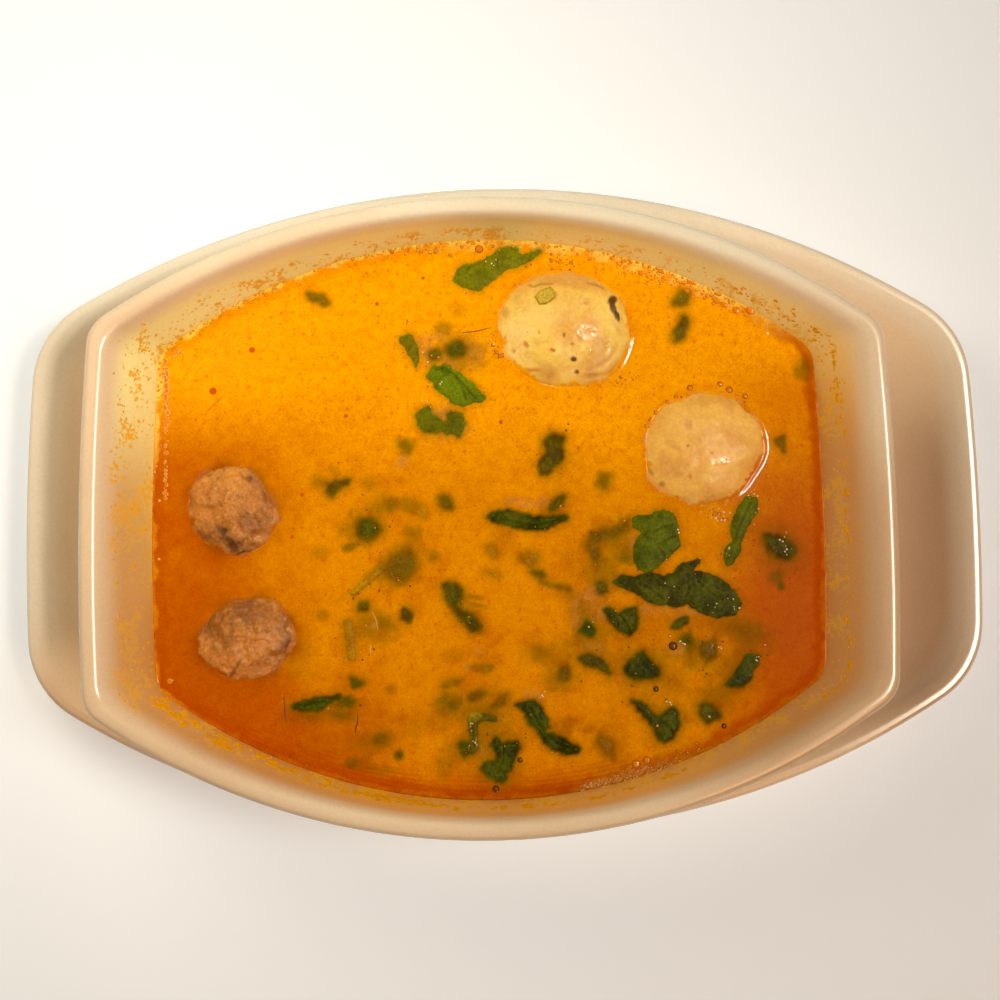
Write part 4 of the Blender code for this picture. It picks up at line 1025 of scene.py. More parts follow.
def strands(index, points):
    """Folds that run along the rim of the first ball on its right and lower side."""
    if index > 0:
        return np.zeros(len(points))
    ball = BALLS[index]
    inside = loop_distance(points[:, :2], WATERLINES[index])
    around = np.arctan2(points[:, 1] - ball.y, points[:, 0] - ball.x)
    sector = ramp(around, -1.75, -1.1) * (1.0 - ramp(around, 0.1, 0.6))
    depth = ramp(inside, 0.0, 0.8) * (1.0 - ramp(inside, 3.0, 6.0))
    wave = np.sin(2.0 * pi * inside / 2.7 + 5.0 * layered(points[:, :2], 9.0, 77) + 0.6)
    return sector * depth * wave * ramp(layered(points[:, :2], 4.0, 78), -0.7, 0.3)


def with_balls(xy, tint):
    """Colour of the soup with the balls' ragged rims and the darker soup beside them."""
    shades = (linear(240, 196, 96), linear(228, 170, 88), linear(176, 108, 46), linear(160, 96, 40))
    for index, ball in enumerate(BALLS):
        near = np.hypot(xy[:, 0] - ball.x, xy[:, 1] - ball.y) < ball.half_length + 7.0
        outside = np.maximum(-loop_distance(xy[near], WATERLINES[index]), 0.0)
        patches = ramp(layered(xy[near], 5.0, 960 + index), -0.5, 0.4)
        halo, deep = (0.32, linear(206, 96, 0)) if index < 2 else (0.62, linear(128, 66, 0))
        tint[near] = mixed(tint[near], deep, halo * patches * np.exp(-outside / 1.7))
        tint[near] = mixed(tint[near], shades[index], ball_share(index, xy[near]))
    return tint


def make_pale_balls():
    """The two fish balls, the first with folds painted lighter on their crests and darker in their troughs
    as painted light and shade, and two fine dark lines.
    """
    finish_pale = ball_finish("fish_ball", 0.45, 0.9, 0.12, 0.09, 0.6)
    for index, ball in enumerate(BALLS[:2]):
        def relief(points, ball=ball, index=index):
            lumps = 0.40 * layered(points, 5.0, int(ball.seed * 7)) + 0.12 * layered(points, 1.5, 91)
            return lumps + 0.07 * strands(index, points)
        points = ball_points(ball, *PALE_GRID, relief)
        pixels = seen(points)
        marks = BALL_1_SPOTS if index == 0 else BALL_2_SPOTS
        tint = spotted(pale_tint(ball, points), pixels, marks, 0.55, 0.25)
        if index == 0:
            # Painted shade in the troughs of the folds and painted light on their crests.
            ridge = strands(index, points)
            tint = mixed(tint, linear(190, 118, 52), np.maximum(-ridge, 0.0) * 0.35)
            tint = mixed(tint, linear(255, 226, 150), np.maximum(ridge, 0.0) * 0.3)
            for line in BALL_1_LINES:
                tint = mixed(tint, linear(150, 84, 34), stroke(pixels, line, 1.5) * 0.5)
        wet = np.zeros(len(points))
        for x, y, a, b in BALL_WET[index]:
            wet = np.maximum(wet, blot(pixels, x, y, a, b, 0, 0.3, 0.4))
        tint = mixed(open_tint(pixels), tint, ball_share(index, points[:, :2]))
        solid = points, ball_faces(*PALE_GRID), tint
        made = piece(ball.name + "_cooked", solid, finish_pale, {"wet": wet})
        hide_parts(ball.name)


def make_meatballs():
    """The two brown balls with a torn, fibrous surface."""
    finish_meat = ball_finish("meatball", 0.5, 0.7, 0.22, 0.2, 0.3)
    for index in (2, 3):
        ball = BALLS[index]

        def relief(points, ball=ball):
            fibres = np.abs(layered(points * (1.0, 1.0, 0.6), 3.0, int(ball.seed * 5), 4))
            return 0.3 - 1.3 * fibres + 0.2 * layered(points, 1.0, 12)
        points = ball_points(ball, *MEAT_GRID, relief)
        pixels = seen(points)
        patches = layered(points * (1.0, 0.7, 1.0), 4.2, int(ball.seed * 9), 4)
        tint = mixed(linear(198, 130, 52), linear(132, 78, 26), ramp(patches, -0.3, 0.5) * 0.75)
        tint = spotted(tint, pixels, MEAT_SPOTS[index - 2], 0.7, 0.45)
        tint = patched(tint, points, (228, 170, 90), 1.2, int(ball.seed * 4), 0.1, 0.7, 0.5)
        tint = patched(tint, points, (88, 50, 10), 1.0, int(ball.seed * 3), 0.15, 0.7, 0.5)
        wet = ramp(layered(points, 2.0, int(ball.seed * 6)), 0.5, 0.65)
        soup = mixed(open_tint(pixels), linear(150, 84, 6), np.full(len(pixels), 0.5))
        solid = points, ball_faces(*MEAT_GRID), mixed(soup, tint, ball_share(index, points[:, :2]))
        made = piece(ball.name + "_cooked", solid, finish_meat, {"wet": wet})
        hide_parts(ball.name)


# ---------------------------------------------------------------- herbs as outlines

def scrap_outline(scrap, number):
    """Uneven small outline in pixels."""
    angle = radians(scrap.heading)
    corners = []
    for i in range(scrap.corners):
        around = 2.0 * pi * i / scrap.corners + 0.3 * sin(2.3 * number + i)
        reach = 1.0 + 0.16 * sin(1.7 * number + 2.6 * i)
        along, across = 0.5 * scrap.length * reach * cos(around), 0.5 * scrap.width * reach * sin(around)
        corners.append((scrap.x + along * cos(angle) - across * sin(angle),
                        scrap.y - along * sin(angle) - across * cos(angle)))
    return corners


def herb_loop(outline, teeth, seed):
    """Closed outline in mm, anticlockwise, its corners just broken, grown and toothed."""
    loop = spots(outline)
    ahead = np.roll(loop, -1, axis=0)
    if np.sum(loop[:, 0] * ahead[:, 1] - ahead[:, 0] * loop[:, 1]) < 0:
        loop = loop[::-1]
        ahead = np.roll(loop, -1, axis=0)
    loop = np.stack((loop * 0.9 + ahead * 0.1, loop * 0.1 + ahead * 0.9), axis=1).reshape(-1, 2)
    ahead = np.roll(loop, -1, axis=0)
    fine = []
    for first, second in zip(loop, ahead):
        steps = max(1, int(np.linalg.norm(second - first) / HERB_STEP))
        fine += [first + (second - first) * k / steps for k in range(steps)]
    fine = np.array(fine)
    tangent = np.roll(fine, -2, axis=0) - np.roll(fine, 2, axis=0)
    normal = np.column_stack((tangent[:, 1], -tangent[:, 0]))
    normal /= np.linalg.norm(normal, axis=1)[:, None] + 1e-9
    push = HERB_GROWTH + teeth * (0.9 * wander(fine, 0.7, seed) + 0.8 * wander(fine, 1.9, seed + 5))
    return fine + normal * push[:, None]


# Herbs in mm: steps of the outline, growth, spacing of the points inside it, thickness
HERB_STEP, HERB_GROWTH = 0.26, 0.4
HERB_SPACING, HERB_THICKNESS = 0.36, 0.35
HERB_LOOPS = {}
for seed, (label, herb) in enumerate(HERBS.items()):
    HERB_LOOPS[label] = herb_loop(herb.outline, 0.10 if herb.form == "stem" else 0.30, 40 + seed)
SCRAP_LOOPS = [herb_loop(scrap_outline(scrap, i), 0.2, 140 + i) for i, scrap in enumerate(SCRAPS)]

SOUP_LIGHT, SOUP_OCHRE, SOUP_DEEP = linear(254, 176, 0), linear(227, 150, 0), linear(194, 98, 0)
SOUP_DARK, SOUP_SMUDGE = linear(166, 68, 0), linear(190, 98, 0)
OIL_FAR, OIL_NEAR = linear(246, 150, 0), linear(182, 76, 0)
FROTH_FAR, FILM_NEAR, STREAK = linear(252, 226, 92), linear(236, 156, 16), linear(168, 66, 0)
FOAM, SOUP_SIDE = linear(206, 142, 50), linear(214, 110, 0)
SUNK_TONES = {"green": linear(70, 84, 0), "brown": linear(140, 76, 0)}

# The third leaf colour darkens the creases of folds as painted shade, and draws thin dark lines in the
# leaves.
LEAF_DARK, LEAF_LIGHT, LEAF_LINE_AND_CREASE_SHADE = linear(20, 43, 0), linear(116, 136, 6), linear(16, 33, 0)
STEM_DARK, STEM_LIGHT = linear(70, 78, 6), linear(164, 148, 20)
SCRAP_TONE, SCRAP_SEED = 0.18, 200
HALO, HALO_COLOUR = 0.35, linear(116, 88, 4)


def leaf_tint(xy, seed, form, tone):
    """Own colour of a leaf or stem, without the soup over it; the tone is 0 dark to 1 light."""
    cloud = layered(xy, 3.2, 300 + seed)
    fine = layered(xy, 0.9, 330 + seed)
    if form == "stem":
        return mixed(STEM_DARK, STEM_LIGHT, ramp(cloud + 0.6 * fine, -0.6, 0.9))
    share = np.clip(tone + 0.30 * cloud + 0.14 * fine, 0.0, 1.0)
    return mixed(LEAF_DARK, LEAF_LIGHT, share)


# ---------------------------------------------------------------- soup

def base_tint(pixels, edge):
    """Colour of the bare soup from pixels and the distance to the wall."""
    x, y = pixels[:, 0], pixels[:, 1]
    places = pixels * 0.25
    patchy = 0.18 * layered(places, 13.0, 60) + 0.14 * layered(places, 4.5, 61)
    ochre = ramp(y + 0.1 * (450 - x), 380, 500) + patchy
    deep = (1.0 - ramp(x, 180, 350)) * ramp(y, 380, 510)
    deep += (1.0 - ramp(x, 290, 450)) * ramp(y, 640, 740) + 0.9 * ramp(y, 755, 800)
    deep += ramp(x, 680, 810) * ramp(y, 340, 400) * (0.5 + 0.8 * ramp(y, 420, 600))
    deep = 1.3 * deep / (1.0 + 0.3 * deep) + 1.3 * patchy * ramp(y, 380, 480)
    tint = mixed(SOUP_LIGHT, SOUP_OCHRE, np.clip(ochre, 0.0, 1.0))
    tint = mixed(tint, SOUP_DEEP, np.clip(deep, 0.0, 1.0))
    tint = mixed(tint, SOUP_DARK, 0.6 * np.clip(deep - 1.0, 0.0, 1.0))
    smudge = ramp(layered(places, 5.0, 65), 0.1, 0.7) * ramp(y, 400, 500)
    tint = mixed(tint, SOUP_SMUDGE, 0.4 * smudge)
    return with_edge(places, x, y, edge, tint)


def open_tint(pixels):
    """Colour of the bare soup away from the wall."""
    return base_tint(pixels, np.full(len(pixels), OPEN_SOUP))


def with_edge(places, x, y, edge, tint):
    """Colour of the soup near the wall: pale film, froth on the far side, oil and dark streaks."""
    ragged = edge + 1.4 * layered(places, 3.0, 62)
    far = 1.0 - ramp(y + 0.2 * (x - 500), 330, 420)
    right = ramp(x, 740, 800)
    fringe = (1.0 - ramp(ragged, 1.6, 4.0)) * (0.45 + 0.35 * right + 0.25 * ramp(y, 620, 740))
    oil = mixed(OIL_FAR, OIL_NEAR, np.maximum(1.0 - far, right * ramp(y, 330, 400)))
    tint = mixed(tint, oil, np.clip(fringe, 0.0, 0.85))
    clumps = ramp(layered(places, 1.3, 63), -0.5, 0.3)
    froth = far * ramp(x, 400, 520) * (1.0 - ramp(ragged, 1.8, 3.2)) * clumps
    tint = mixed(tint, FROTH_FAR, 0.7 * froth)
    streak = np.sin(2.0 * pi * edge / 1.1 + 2.5 * layered(places, 14.0, 64))
    near = ramp(y, 690, 750) * (1.0 - ramp(edge, 4.0, 8.0)) * (1.0 - ramp(x, 600, 700))
    tint = mixed(tint, STREAK, 0.42 * near * ramp(streak, 0.0, 0.9))
    film = (1.0 - ramp(ragged, 0.3, 1.1)) * (0.25 + 0.55 * far + 0.35 * (1.0 - ramp(x, 165, 200)))
    return mixed(tint, mixed(FILM_NEAR, FROTH_FAR, far), np.clip(film, 0.0, 0.85))


def soup_tint(xy, edge):
    """Colour of the soup with what is sunk in it, and the mask of froth that hides its specks."""
    pixels = seen(on_level(xy))
    tint = base_tint(pixels, edge)
    calm = np.zeros(len(xy))
    for sunk in SUNK:
        near = np.hypot(pixels[:, 0] - sunk.x, pixels[:, 1] - sunk.y) < 1.8 * max(sunk.a, sunk.b)
        if near.any():
            mask = blot(pixels[near], sunk.x, sunk.y, sunk.a, sunk.b, sunk.turn, 0.75, 0.3)
            share = np.minimum(mask * sunk.strength * 1.25, 0.9)
            tint[near] = mixed(tint[near], SUNK_TONES[sunk.tone], share)
    for x, y, a, b, turn, strength in FROTH:
        mask = blot(pixels, x, y, a, b, turn, 0.6, 0.35)
        foam = mask * ramp(layered(pixels, 3.2, 66), -0.6, 0.4) * strength * 1.8
        tint = mixed(tint, FOAM, np.minimum(foam, 0.9))
        calm = np.maximum(calm, foam)
    return tint, np.minimum(calm, 1.0)


def herb_share(distance, soft, clear):
    """Share of a leaf that shows at a distance inside its edge."""
    return clear * ramp(distance, -soft, soft)


def with_herbs(xy, tint, calm):
    """Colour of the soup with the soft rims of the leaves that lie in it."""
    everything = [(HERB_LOOPS[label], herb.soft, herb.clear, herb.form, herb.tone, seed)
                  for seed, (label, herb) in enumerate(HERBS.items())]
    everything += [(loop, scrap.soft, scrap.clear, "leaf", SCRAP_TONE, SCRAP_SEED + i)
                   for i, (loop, scrap) in enumerate(zip(SCRAP_LOOPS, SCRAPS))]
    for loop, soft, clear, form, tone, seed in everything:
        low, high = loop.min(0) - 3.5, loop.max(0) + 3.5
        near = np.all((xy > low) & (xy < high), axis=1)
        if not near.any():
            continue
        distance = loop_distance(xy[near], loop) + 0.3 * soft * wander(xy[near], 1.4, seed)
        halo = HALO * clear * ramp(distance + 0.5 * wander(xy[near], 2.5, seed + 9), -2.4, 0.3)
        tint[near] = mixed(tint[near], HALO_COLOUR, halo)
        share = herb_share(distance, soft, clear)
        tint[near] = mixed(tint[near], leaf_tint(xy[near], seed, form, tone), share)
        calm[near] = np.maximum(calm[near], share)
    return tint, calm


def side_curves(loop):
    """The four sides of the barrel outline, split at the middles of its corners."""
    quarter = sum(OUTLINE_STEPS)
    first = OUTLINE_STEPS[0] + OUTLINE_STEPS[1] // 2
    count = len(loop)

    def run(start, stop):
        return loop[np.arange(start, stop + 1) % count]
    right = run(count - first, count + first)
    top = run(first, 2 * quarter - first)
    left = run(2 * quarter - first, 2 * quarter + first)
    bottom = run(2 * quarter + first, 4 * quarter - first)
    return right, top[::-1], left[::-1], bottom


def even(line, steps):
    """Line resampled to even steps."""
    run = run_of(line)
    at = np.linspace(0.0, run[-1], steps + 1)
    return np.column_stack((np.interp(at, run, line[:, 0]), np.interp(at, run, line[:, 1])))


def soup_grid():
    """Even grid of points over the soup, bent to the wall's outline."""
    right, top, left, bottom = side_curves(SOUP_LOOP)
    columns, rows = SOUP_CELLS
    bottom, top = even(bottom, columns), even(top, columns)
    left, right = even(left, rows), even(right, rows)
    u = np.linspace(0.0, 1.0, columns + 1)[None, :, None]
    v = np.linspace(0.0, 1.0, rows + 1)[:, None, None]
    return ((1 - v) * bottom[None] + v * top[None] + (1 - u) * left[:, None] + u * right[:, None]
            - ((1 - u) * (1 - v) * bottom[0] + u * (1 - v) * bottom[-1]
               + (1 - u) * v * top[0] + u * v * top[-1]))


def wall_distance(xy):
    """Distance from points to the wall at the soup's edge."""
    dense = np.concatenate([even(np.array((first, second)), 12)[:-1]
                            for first, second in zip(SOUP_LOOP, np.roll(SOUP_LOOP, -1, axis=0))])
    tree = kdtree.KDTree(len(dense))
    for i, (x, y) in enumerate(dense):
        tree.insert((x, y, 0.0), i)
    tree.balance()
    return np.array([tree.find((x, y, 0.0))[2] for x, y in xy])


def soup_height(xy, edge):
    """Height of the soup over its level."""
    height = MENISCUS * np.exp(-edge / MENISCUS_REACH)
    height += 0.02 * layered(xy, 9.0, 70, 2)
    for line in RIPPLES:
        away = line_distance(xy, spots(line))
        height += 0.15 * (1.0 - ramp(away, 0.0, 1.2))
    for ball, loop in zip(BALLS, WATERLINES):
        near = np.hypot(xy[:, 0] - ball.x, xy[:, 1] - ball.y) < ball.half_length + 6.0
        outside = -loop_distance(xy[near], loop)
        climb = 0.34 * np.exp(-np.maximum(outside, 0.0) / 0.8)
        height[near] += np.where(outside > -0.3, climb, climb - 2.2 * ramp(-outside, 0.3, 2.0))
    return height


def surface(xy):
    """Height of the soup's surface at a few places."""
    return LEVEL + soup_height(xy, np.maximum(loop_distance(xy, SOUP_LOOP), 0.0))


def make_soup():
    """The soup as one solid: its surface as a fine grid, and a skirt down along the wall."""
    grid = soup_grid()
    rows, columns = grid.shape[0], grid.shape[1]
    xy = grid.reshape(-1, 2)
    edge = wall_distance(xy)
    tint, calm = soup_tint(xy, edge)
    tint, calm = with_herbs(xy, with_balls(xy, tint), calm)
    points = np.column_stack((xy, LEVEL + soup_height(xy, edge)))
    index = np.arange(rows * columns).reshape(rows, columns)
    low_left, low_right = index[:-1, :-1].ravel(), index[:-1, 1:].ravel()
    high_right, high_left = index[1:, 1:].ravel(), index[1:, :-1].ravel()
    faces = np.column_stack((low_left, low_right, high_right, high_left)).tolist()
    rim = np.concatenate((index[0, :-1], index[:-1, -1], index[-1, :0:-1], index[:0:-1, 0]))
    centre = np.array(BOWL_SHIFT)
    shares = (xy[rim] - centre) / EDGE_SIZE
    above = rim
    for share in SKIRT_SHARES:
        length, width, height = wall_ring(share)
        lower = len(points) + np.arange(len(rim))
        ring = shares * (length - 0.3, width - 0.3) + centre
        points = np.concatenate((points, on_level(ring, height + 0.45)))
        faces += np.column_stack((np.roll(above, -1), above, lower, np.roll(lower, -1))).tolist()
        above = lower
    faces.append(above[::-1].tolist())
    extra = len(points) - len(tint)
    solid = points, faces, np.concatenate((tint, np.tile(SOUP_SIDE, (extra, 1))))
    masks = {"calm": np.concatenate((calm, np.zeros(extra)))}
    made = piece("soup_surface", solid, soup_finish(), masks)
    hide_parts("soup")


# ---------------------------------------------------------------- herbs as pieces

def filled(loop):
    """Points and triangles over a loop; the loop's own points come first."""
    low, high = loop.min(0), loop.max(0)
    xs = np.arange(low[0], high[0], HERB_SPACING)
    ys = np.arange(low[1], high[1], HERB_SPACING * 0.87)
    grid = np.array([(x + (0.5 * HERB_SPACING if j % 2 else 0.0), y) for j, y in enumerate(ys) for x in xs])
    grid = grid[loop_distance(grid, loop) > 0.6 * HERB_SPACING]
    points = np.concatenate((loop, grid.reshape(-1, 2)))
    edges = [(i, (i + 1) % len(loop)) for i in range(len(loop))]
    corners, _, faces, _, _, _ = geometry.delaunay_2d_cdt(
        [Vector(p) for p in points], edges, [], 1, 1e-5)
    return np.array([tuple(c) for c in corners]), [tuple(f) for f in faces]


def border(faces):
    """Border edges of triangles, as they run."""
    edges = set()
    for face in faces:
        for i in range(3):
            edges.add((face[i], face[(i + 1) % 3]))
    return [edge for edge in edges if (edge[1], edge[0]) not in edges]


def herb_solid(loop, soft, clear, form, folds, seed, tone):
    """Thin solid over a loop, lying in the soup; a soft rim dips under the surface, a crisp one not."""
    xy, faces = filled(loop)
    distance = np.maximum(loop_distance(xy, loop), 0.0)
    crisp = 1.0 - ramp(soft, 0.25, 0.6)
    if form == "stem":
        inward = 1.0 - np.minimum(distance / 1.1, 1.0)
        rise = 0.6 * np.sqrt(np.clip(1.0 - inward ** 2, 0.0, 1.0)) - 0.2
    else:
        lift = 0.14 + 0.18 * crisp
        rise = lift * ramp(distance, 0.0, 1.5) - 0.10 + 0.20 * crisp
        waves = 0.10 * layered(xy, 2.4, 500 + seed) + 0.05 * layered(xy, 0.8, seed)
        rise += ramp(distance, 0.2, 1.2) * waves
    own = leaf_tint(xy, seed, form, tone)
    # Each fold is painted darker in its crease as painted shade, with a painted highlight in a band beside
    # it.
    for line in folds:
        away = line_distance(xy, spots(line))
        crease = 1.0 - ramp(away, 0.08, 0.45)
        rise = rise - 0.12 * crease * ramp(distance, 0.0, 0.5)
        own = mixed(own, LEAF_LINE_AND_CREASE_SHADE, crease * 0.5)
        own = mixed(own, LEAF_LIGHT, (ramp(away, 0.35, 0.6) - ramp(away, 0.6, 1.1)) * 0.12)
    if form == "leaf":
        rib, crack = np.abs(wander(xy, 1.5, 700 + seed)), np.abs(wander(xy, 2.6, 740 + seed))
        own = mixed(own, LEAF_LIGHT, (1.0 - ramp(rib, 0.02, 0.16)) * 0.22)
        own = mixed(own, LEAF_LINE_AND_CREASE_SHADE, (1.0 - ramp(crack, 0.02, 0.12)) * 0.35)
    under, _ = soup_tint(xy, np.full(len(xy), OPEN_SOUP))
    under = mixed(under, HALO_COLOUR, np.full(len(xy), HALO * clear))
    shown = distance + 0.3 * soft * wander(xy, 1.4, seed) + 1.2 * crisp * soft
    tint = mixed(under, own, herb_share(shown, soft, clear))
    top = np.column_stack((xy, LEVEL + rise))
    bottom = np.column_stack((xy, LEVEL + rise - HERB_THICKNESS))
    count = len(xy)
    below = [(c + count, b + count, a + count) for a, b, c in faces]
    sides = [(b, a, a + count, b + count) for a, b in border(faces)]
    return np.concatenate((top, bottom)), faces + below + sides, np.concatenate((tint, tint))


def joined(parts):
    """Several (points, faces, tints) as one."""
    points, faces, tints, start = [], [], [], 0
    for more_points, more_faces, more_tints in parts:
        points.append(more_points)
        tints.append(more_tints)
        faces += [tuple(i + start for i in face) for face in more_faces]
        start += len(more_points)
    return np.concatenate(points), faces, np.concatenate(tints)


def make_herbs():
    """The leaves and stems one by one, and all the small scraps as one piece."""
    leaf_finish, stem_finish = herb_finish("herb_leaf", 0.5), herb_finish("herb_stem", 0.4)
    for seed, (label, herb) in enumerate(HERBS.items()):
        solid = herb_solid(HERB_LOOPS[label], herb.soft, herb.clear, herb.form, herb.folds, seed, herb.tone)
        stem = herb.form == "stem"
        made = piece(label + "_wet", solid, stem_finish if stem else leaf_finish)
        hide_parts(label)
    scraps = joined([herb_solid(loop, scrap.soft, scrap.clear, "leaf", [], SCRAP_SEED + i, SCRAP_TONE)
                     for i, (loop, scrap) in enumerate(zip(SCRAP_LOOPS, SCRAPS))])
    piece("herb_scraps", scraps, leaf_finish)


def make_stem_slice():
    """Short slice of herb stem stuck to the first ball."""
    outline = spots(STEM_SLICE, LEVEL + 4.0)
    rings, tints = [], []
    for share, height in SLICE_RINGS:
        ring = outline.mean(0) + (outline - outline.mean(0)) * share
        lean = (ring - outline.mean(0)) @ (0.06, -0.10)
        rings.append(np.column_stack((ring, LEVEL + height + lean)))
        shade = linear(172, 154, 34) if share > 0.92 else linear(206, 180, 64)
        tints.append(np.tile(shade, (len(ring), 1)))
    solid = np.concatenate(rings), ring_faces(len(rings), len(outline)), np.concatenate(tints)
    piece("stem_slice", solid, herb_finish("herb_slice", 0.2))


# ---------------------------------------------------------------- bubbles, drops and splashes

DOME_RINGS = ((1.0, 0.0), (0.86, 0.45), (0.55, 0.86))
DOME_SIDES = 10
TUBE_SIDES = 6


def domes(centres, ups, alongs, radii, heights, rims, middles, squash=1.0):
    """Closed little caps: frames, sizes, colours of rim and middle; squashed ones are uneven."""
    across = np.cross(ups, alongs)
    around = 2.0 * pi * np.arange(DOME_SIDES) / DOME_SIDES
    count = len(centres)
    ragged = lattice(np.arange(count)[:, None], np.arange(DOME_SIDES)[None, :],
                     np.zeros((count, DOME_SIDES), np.int64), 9)
    uneven = 1.0 + (squash != 1.0) * 0.25 * ragged
    rings, tints = [], []
    for share, high in ((1.0, -0.35),) + DOME_RINGS:
        x = radii[:, None] * share * np.cos(around) * uneven
        y = radii[:, None] * share * np.sin(around) * uneven * squash
        rings.append(centres[:, None] + alongs[:, None] * x[..., None] + across[:, None] * y[..., None]
                     + ups[:, None] * (heights * high)[:, None, None])
        tint = rims if share > 0.7 else middles
        tints.append(np.repeat(tint[:, None], DOME_SIDES, axis=1))
    rings.append((centres + ups * heights[:, None])[:, None])
    tints.append(middles[:, None])
    points = np.concatenate(rings, axis=1)
    size = points.shape[1]
    one = []
    for ring in range(3):
        low, high = ring * DOME_SIDES, (ring + 1) * DOME_SIDES
        one += [(low + i, low + (i + 1) % DOME_SIDES, high + (i + 1) % DOME_SIDES, high + i)
                for i in range(DOME_SIDES)]
    one += [(3 * DOME_SIDES + i, 3 * DOME_SIDES + (i + 1) % DOME_SIDES, size - 1) for i in range(DOME_SIDES)]
    one.append(tuple(reversed(range(DOME_SIDES))))
    faces = [tuple(i + k * size for i in face) for k in range(count) for face in one]
    return points.reshape(-1, 3), faces, np.concatenate(tints, axis=1).reshape(-1, 3)


def on_soup(drops, lift=0.0):
    """Caps on the soup: place, radius in pixels, height as a share of it, colours of rim and middle."""
    xy = np.array([drop[0] for drop in drops])
    centres = np.column_stack((xy, surface(xy) + lift))
    radii = np.array([drop[1] for drop in drops]) * PIXEL
    heights = radii * [drop[2] for drop in drops]
    rims, middles = (np.array([linear(*drop[k]) for drop in drops]) for k in (3, 4))
    ups, alongs = np.tile((0.0, 0.0, 1.0), (len(xy), 1)), np.tile((1.0, 0.0, 0.0), (len(xy), 1))
    return domes(centres, ups, alongs, radii, heights, rims, middles)


def drop_finish(name, roughness, specular):
    """Wet drop, bubble or splash that takes its colour from its points."""
    made, tree, shader = finish(name, roughness=roughness, specular=specular)
    mottle = spread(tree, noise_of(tree, coordinates(tree), 0.5, 2.0), 0.3, 0.7)
    base = tint_of(tree)
    base = blend(tree, mottle, times(tree, base, (0.86, 0.82, 0.8)), base)
    tree.links.new(base, shader.inputs["Base Color"])
    return made


def make_bubbles():
    """Bubbles, oil droplets and froth on the soup."""
    random = np.random.default_rng(11)
    drops = [(spot(x, y), growth * radius, high, rim, inside)
             for rows, growth, high, rim, inside in DROP_KINDS for x, y, radius in rows]
    for x0, y0, x1, y1, number, wide, least, most, rim, inside in TRAILS:
        share, side = random.random(number), random.normal(0.0, 1.0, number)
        size = least + (most - least) * random.random(number) ** 2
        reach = np.hypot(x1 - x0, y1 - y0)
        for t, s, radius in zip(share, side, size):
            place = spot(x0 + (x1 - x0) * t - (y1 - y0) / reach * s * wide,
                         y0 + (y1 - y0) * t + (x1 - x0) / reach * s * wide)
            drops.append((place, radius, 0.5, rim, inside))
    for start, stop, number, deep, least, most, rim, inside in EDGE_FROTH:
        places = wall_place(start + (stop - start) * random.random(number), np.full(number, 0.5))[:, :2]
        inward = np.array(BOWL_SHIFT) - places
        inward /= np.linalg.norm(inward, axis=1)[:, None]
        places += inward * (least * PIXEL + deep * random.random(number) ** 1.6)[:, None]
        radii = least + (most - least) * random.random(number) ** 2
        drops += [(place, radius, 0.5, rim, inside) for place, radius in zip(places, radii)]
    piece("soup_bubbles", on_soup(drops), drop_finish("soup_bubble", 0.10, 0.25))


def make_pinholes():
    """Small dark and pale grains that gather round the herbs."""
    random = np.random.default_rng(12)
    loops = list(HERB_LOOPS.values())
    drops = []
    while len(drops) < PINHOLES:
        loop = loops[int(random.random() * len(loops))]
        place = loop[int(random.random() * len(loop))] + random.normal(0.0, 2.6, 2)
        radius = 0.5 + 0.8 * random.random() ** 3
        shade = (226, 150, 60) if random.random() < 0.22 else (136, 74, 6)
        if loop_distance(place[None], SOUP_LOOP)[0] > 1.5:
            drops.append((place, radius, 0.35, shade, shade))
    piece("soup_grains", on_soup(drops, 0.10), drop_finish("soup_grain", 0.2, 0.3))


def make_beads():
    """Small flat glossy drops of coconut fat on the leaves and the soup, coloured pale as painted glints."""
    random = np.random.default_rng(14)
    parts = []
    for x, y, number, wide, level in BEADS:
        drops = [(spot(x + random.normal(0.0, wide), y + random.normal(0.0, wide), LEVEL + level),
                  0.45 + 0.6 * random.random() ** 2, 0.45, FAT_AND_GLINT_SHADE, FAT_AND_GLINT_SHADE) for _ in range(number)]
        parts.append(on_soup(drops, level))
    piece("soup_beads", joined(parts), drop_finish("soup_bead", 0.12, 0.6))


def wall_frame(around, rise):
    """Places on the bowl's inner wall with their axes: share of the way round, mm over the soup."""
    centres = wall_place(around, rise)
    along = wall_place(around + 0.002, rise) - wall_place(around - 0.002, rise)
    upward = wall_place(around, rise + 0.2) - wall_place(around, rise - 0.2)
    along /= np.linalg.norm(along, axis=1)[:, None]
    normal = np.cross(upward, along)
    normal /= np.linalg.norm(normal, axis=1)[:, None]
    return centres, normal * np.sign(normal[:, 2])[:, None], along


def make_splashes():
    """Dried specks of soup on the wall over the soup's edge."""
    random = np.random.default_rng(13)
    around, rise, radii, shades = [], [], [], []
    for start, stop, number, low, high, least, most, dark in SPLASH_BANDS:
        for _ in range(number):
            clump = start + (stop - start) * random.random()
            level = low + (high - low) * random.random()
            for _ in range(1 + int(4 * random.random() ** 2)):
                around.append(clump + random.normal(0.0, 0.0016))
                rise.append(max(0.25, level + random.normal(0.0, 0.35)))
                radii.append(least + (most - least) * random.random() ** 2)
                shades.append(dark * (0.6 + 0.8 * random.random()))
    around, rise, radii = np.array(around), np.array(rise), np.array(radii)
    centres, ups, alongs = wall_frame(around, rise)
    turn = random.normal(0.0, 0.5, len(radii))[:, None]
    alongs = alongs * np.cos(turn) + np.cross(ups, alongs) * np.sin(turn)
    tints = mixed(linear(252, 214, 24), linear(234, 164, 0), np.clip(shades, 0.0, 1.0))
    solid = domes(centres, ups, alongs, radii, np.full(len(radii), 0.06), tints, tints, 0.55)
    piece("wall_splashes", solid, drop_finish("soup_splash", 0.45, 0.12))


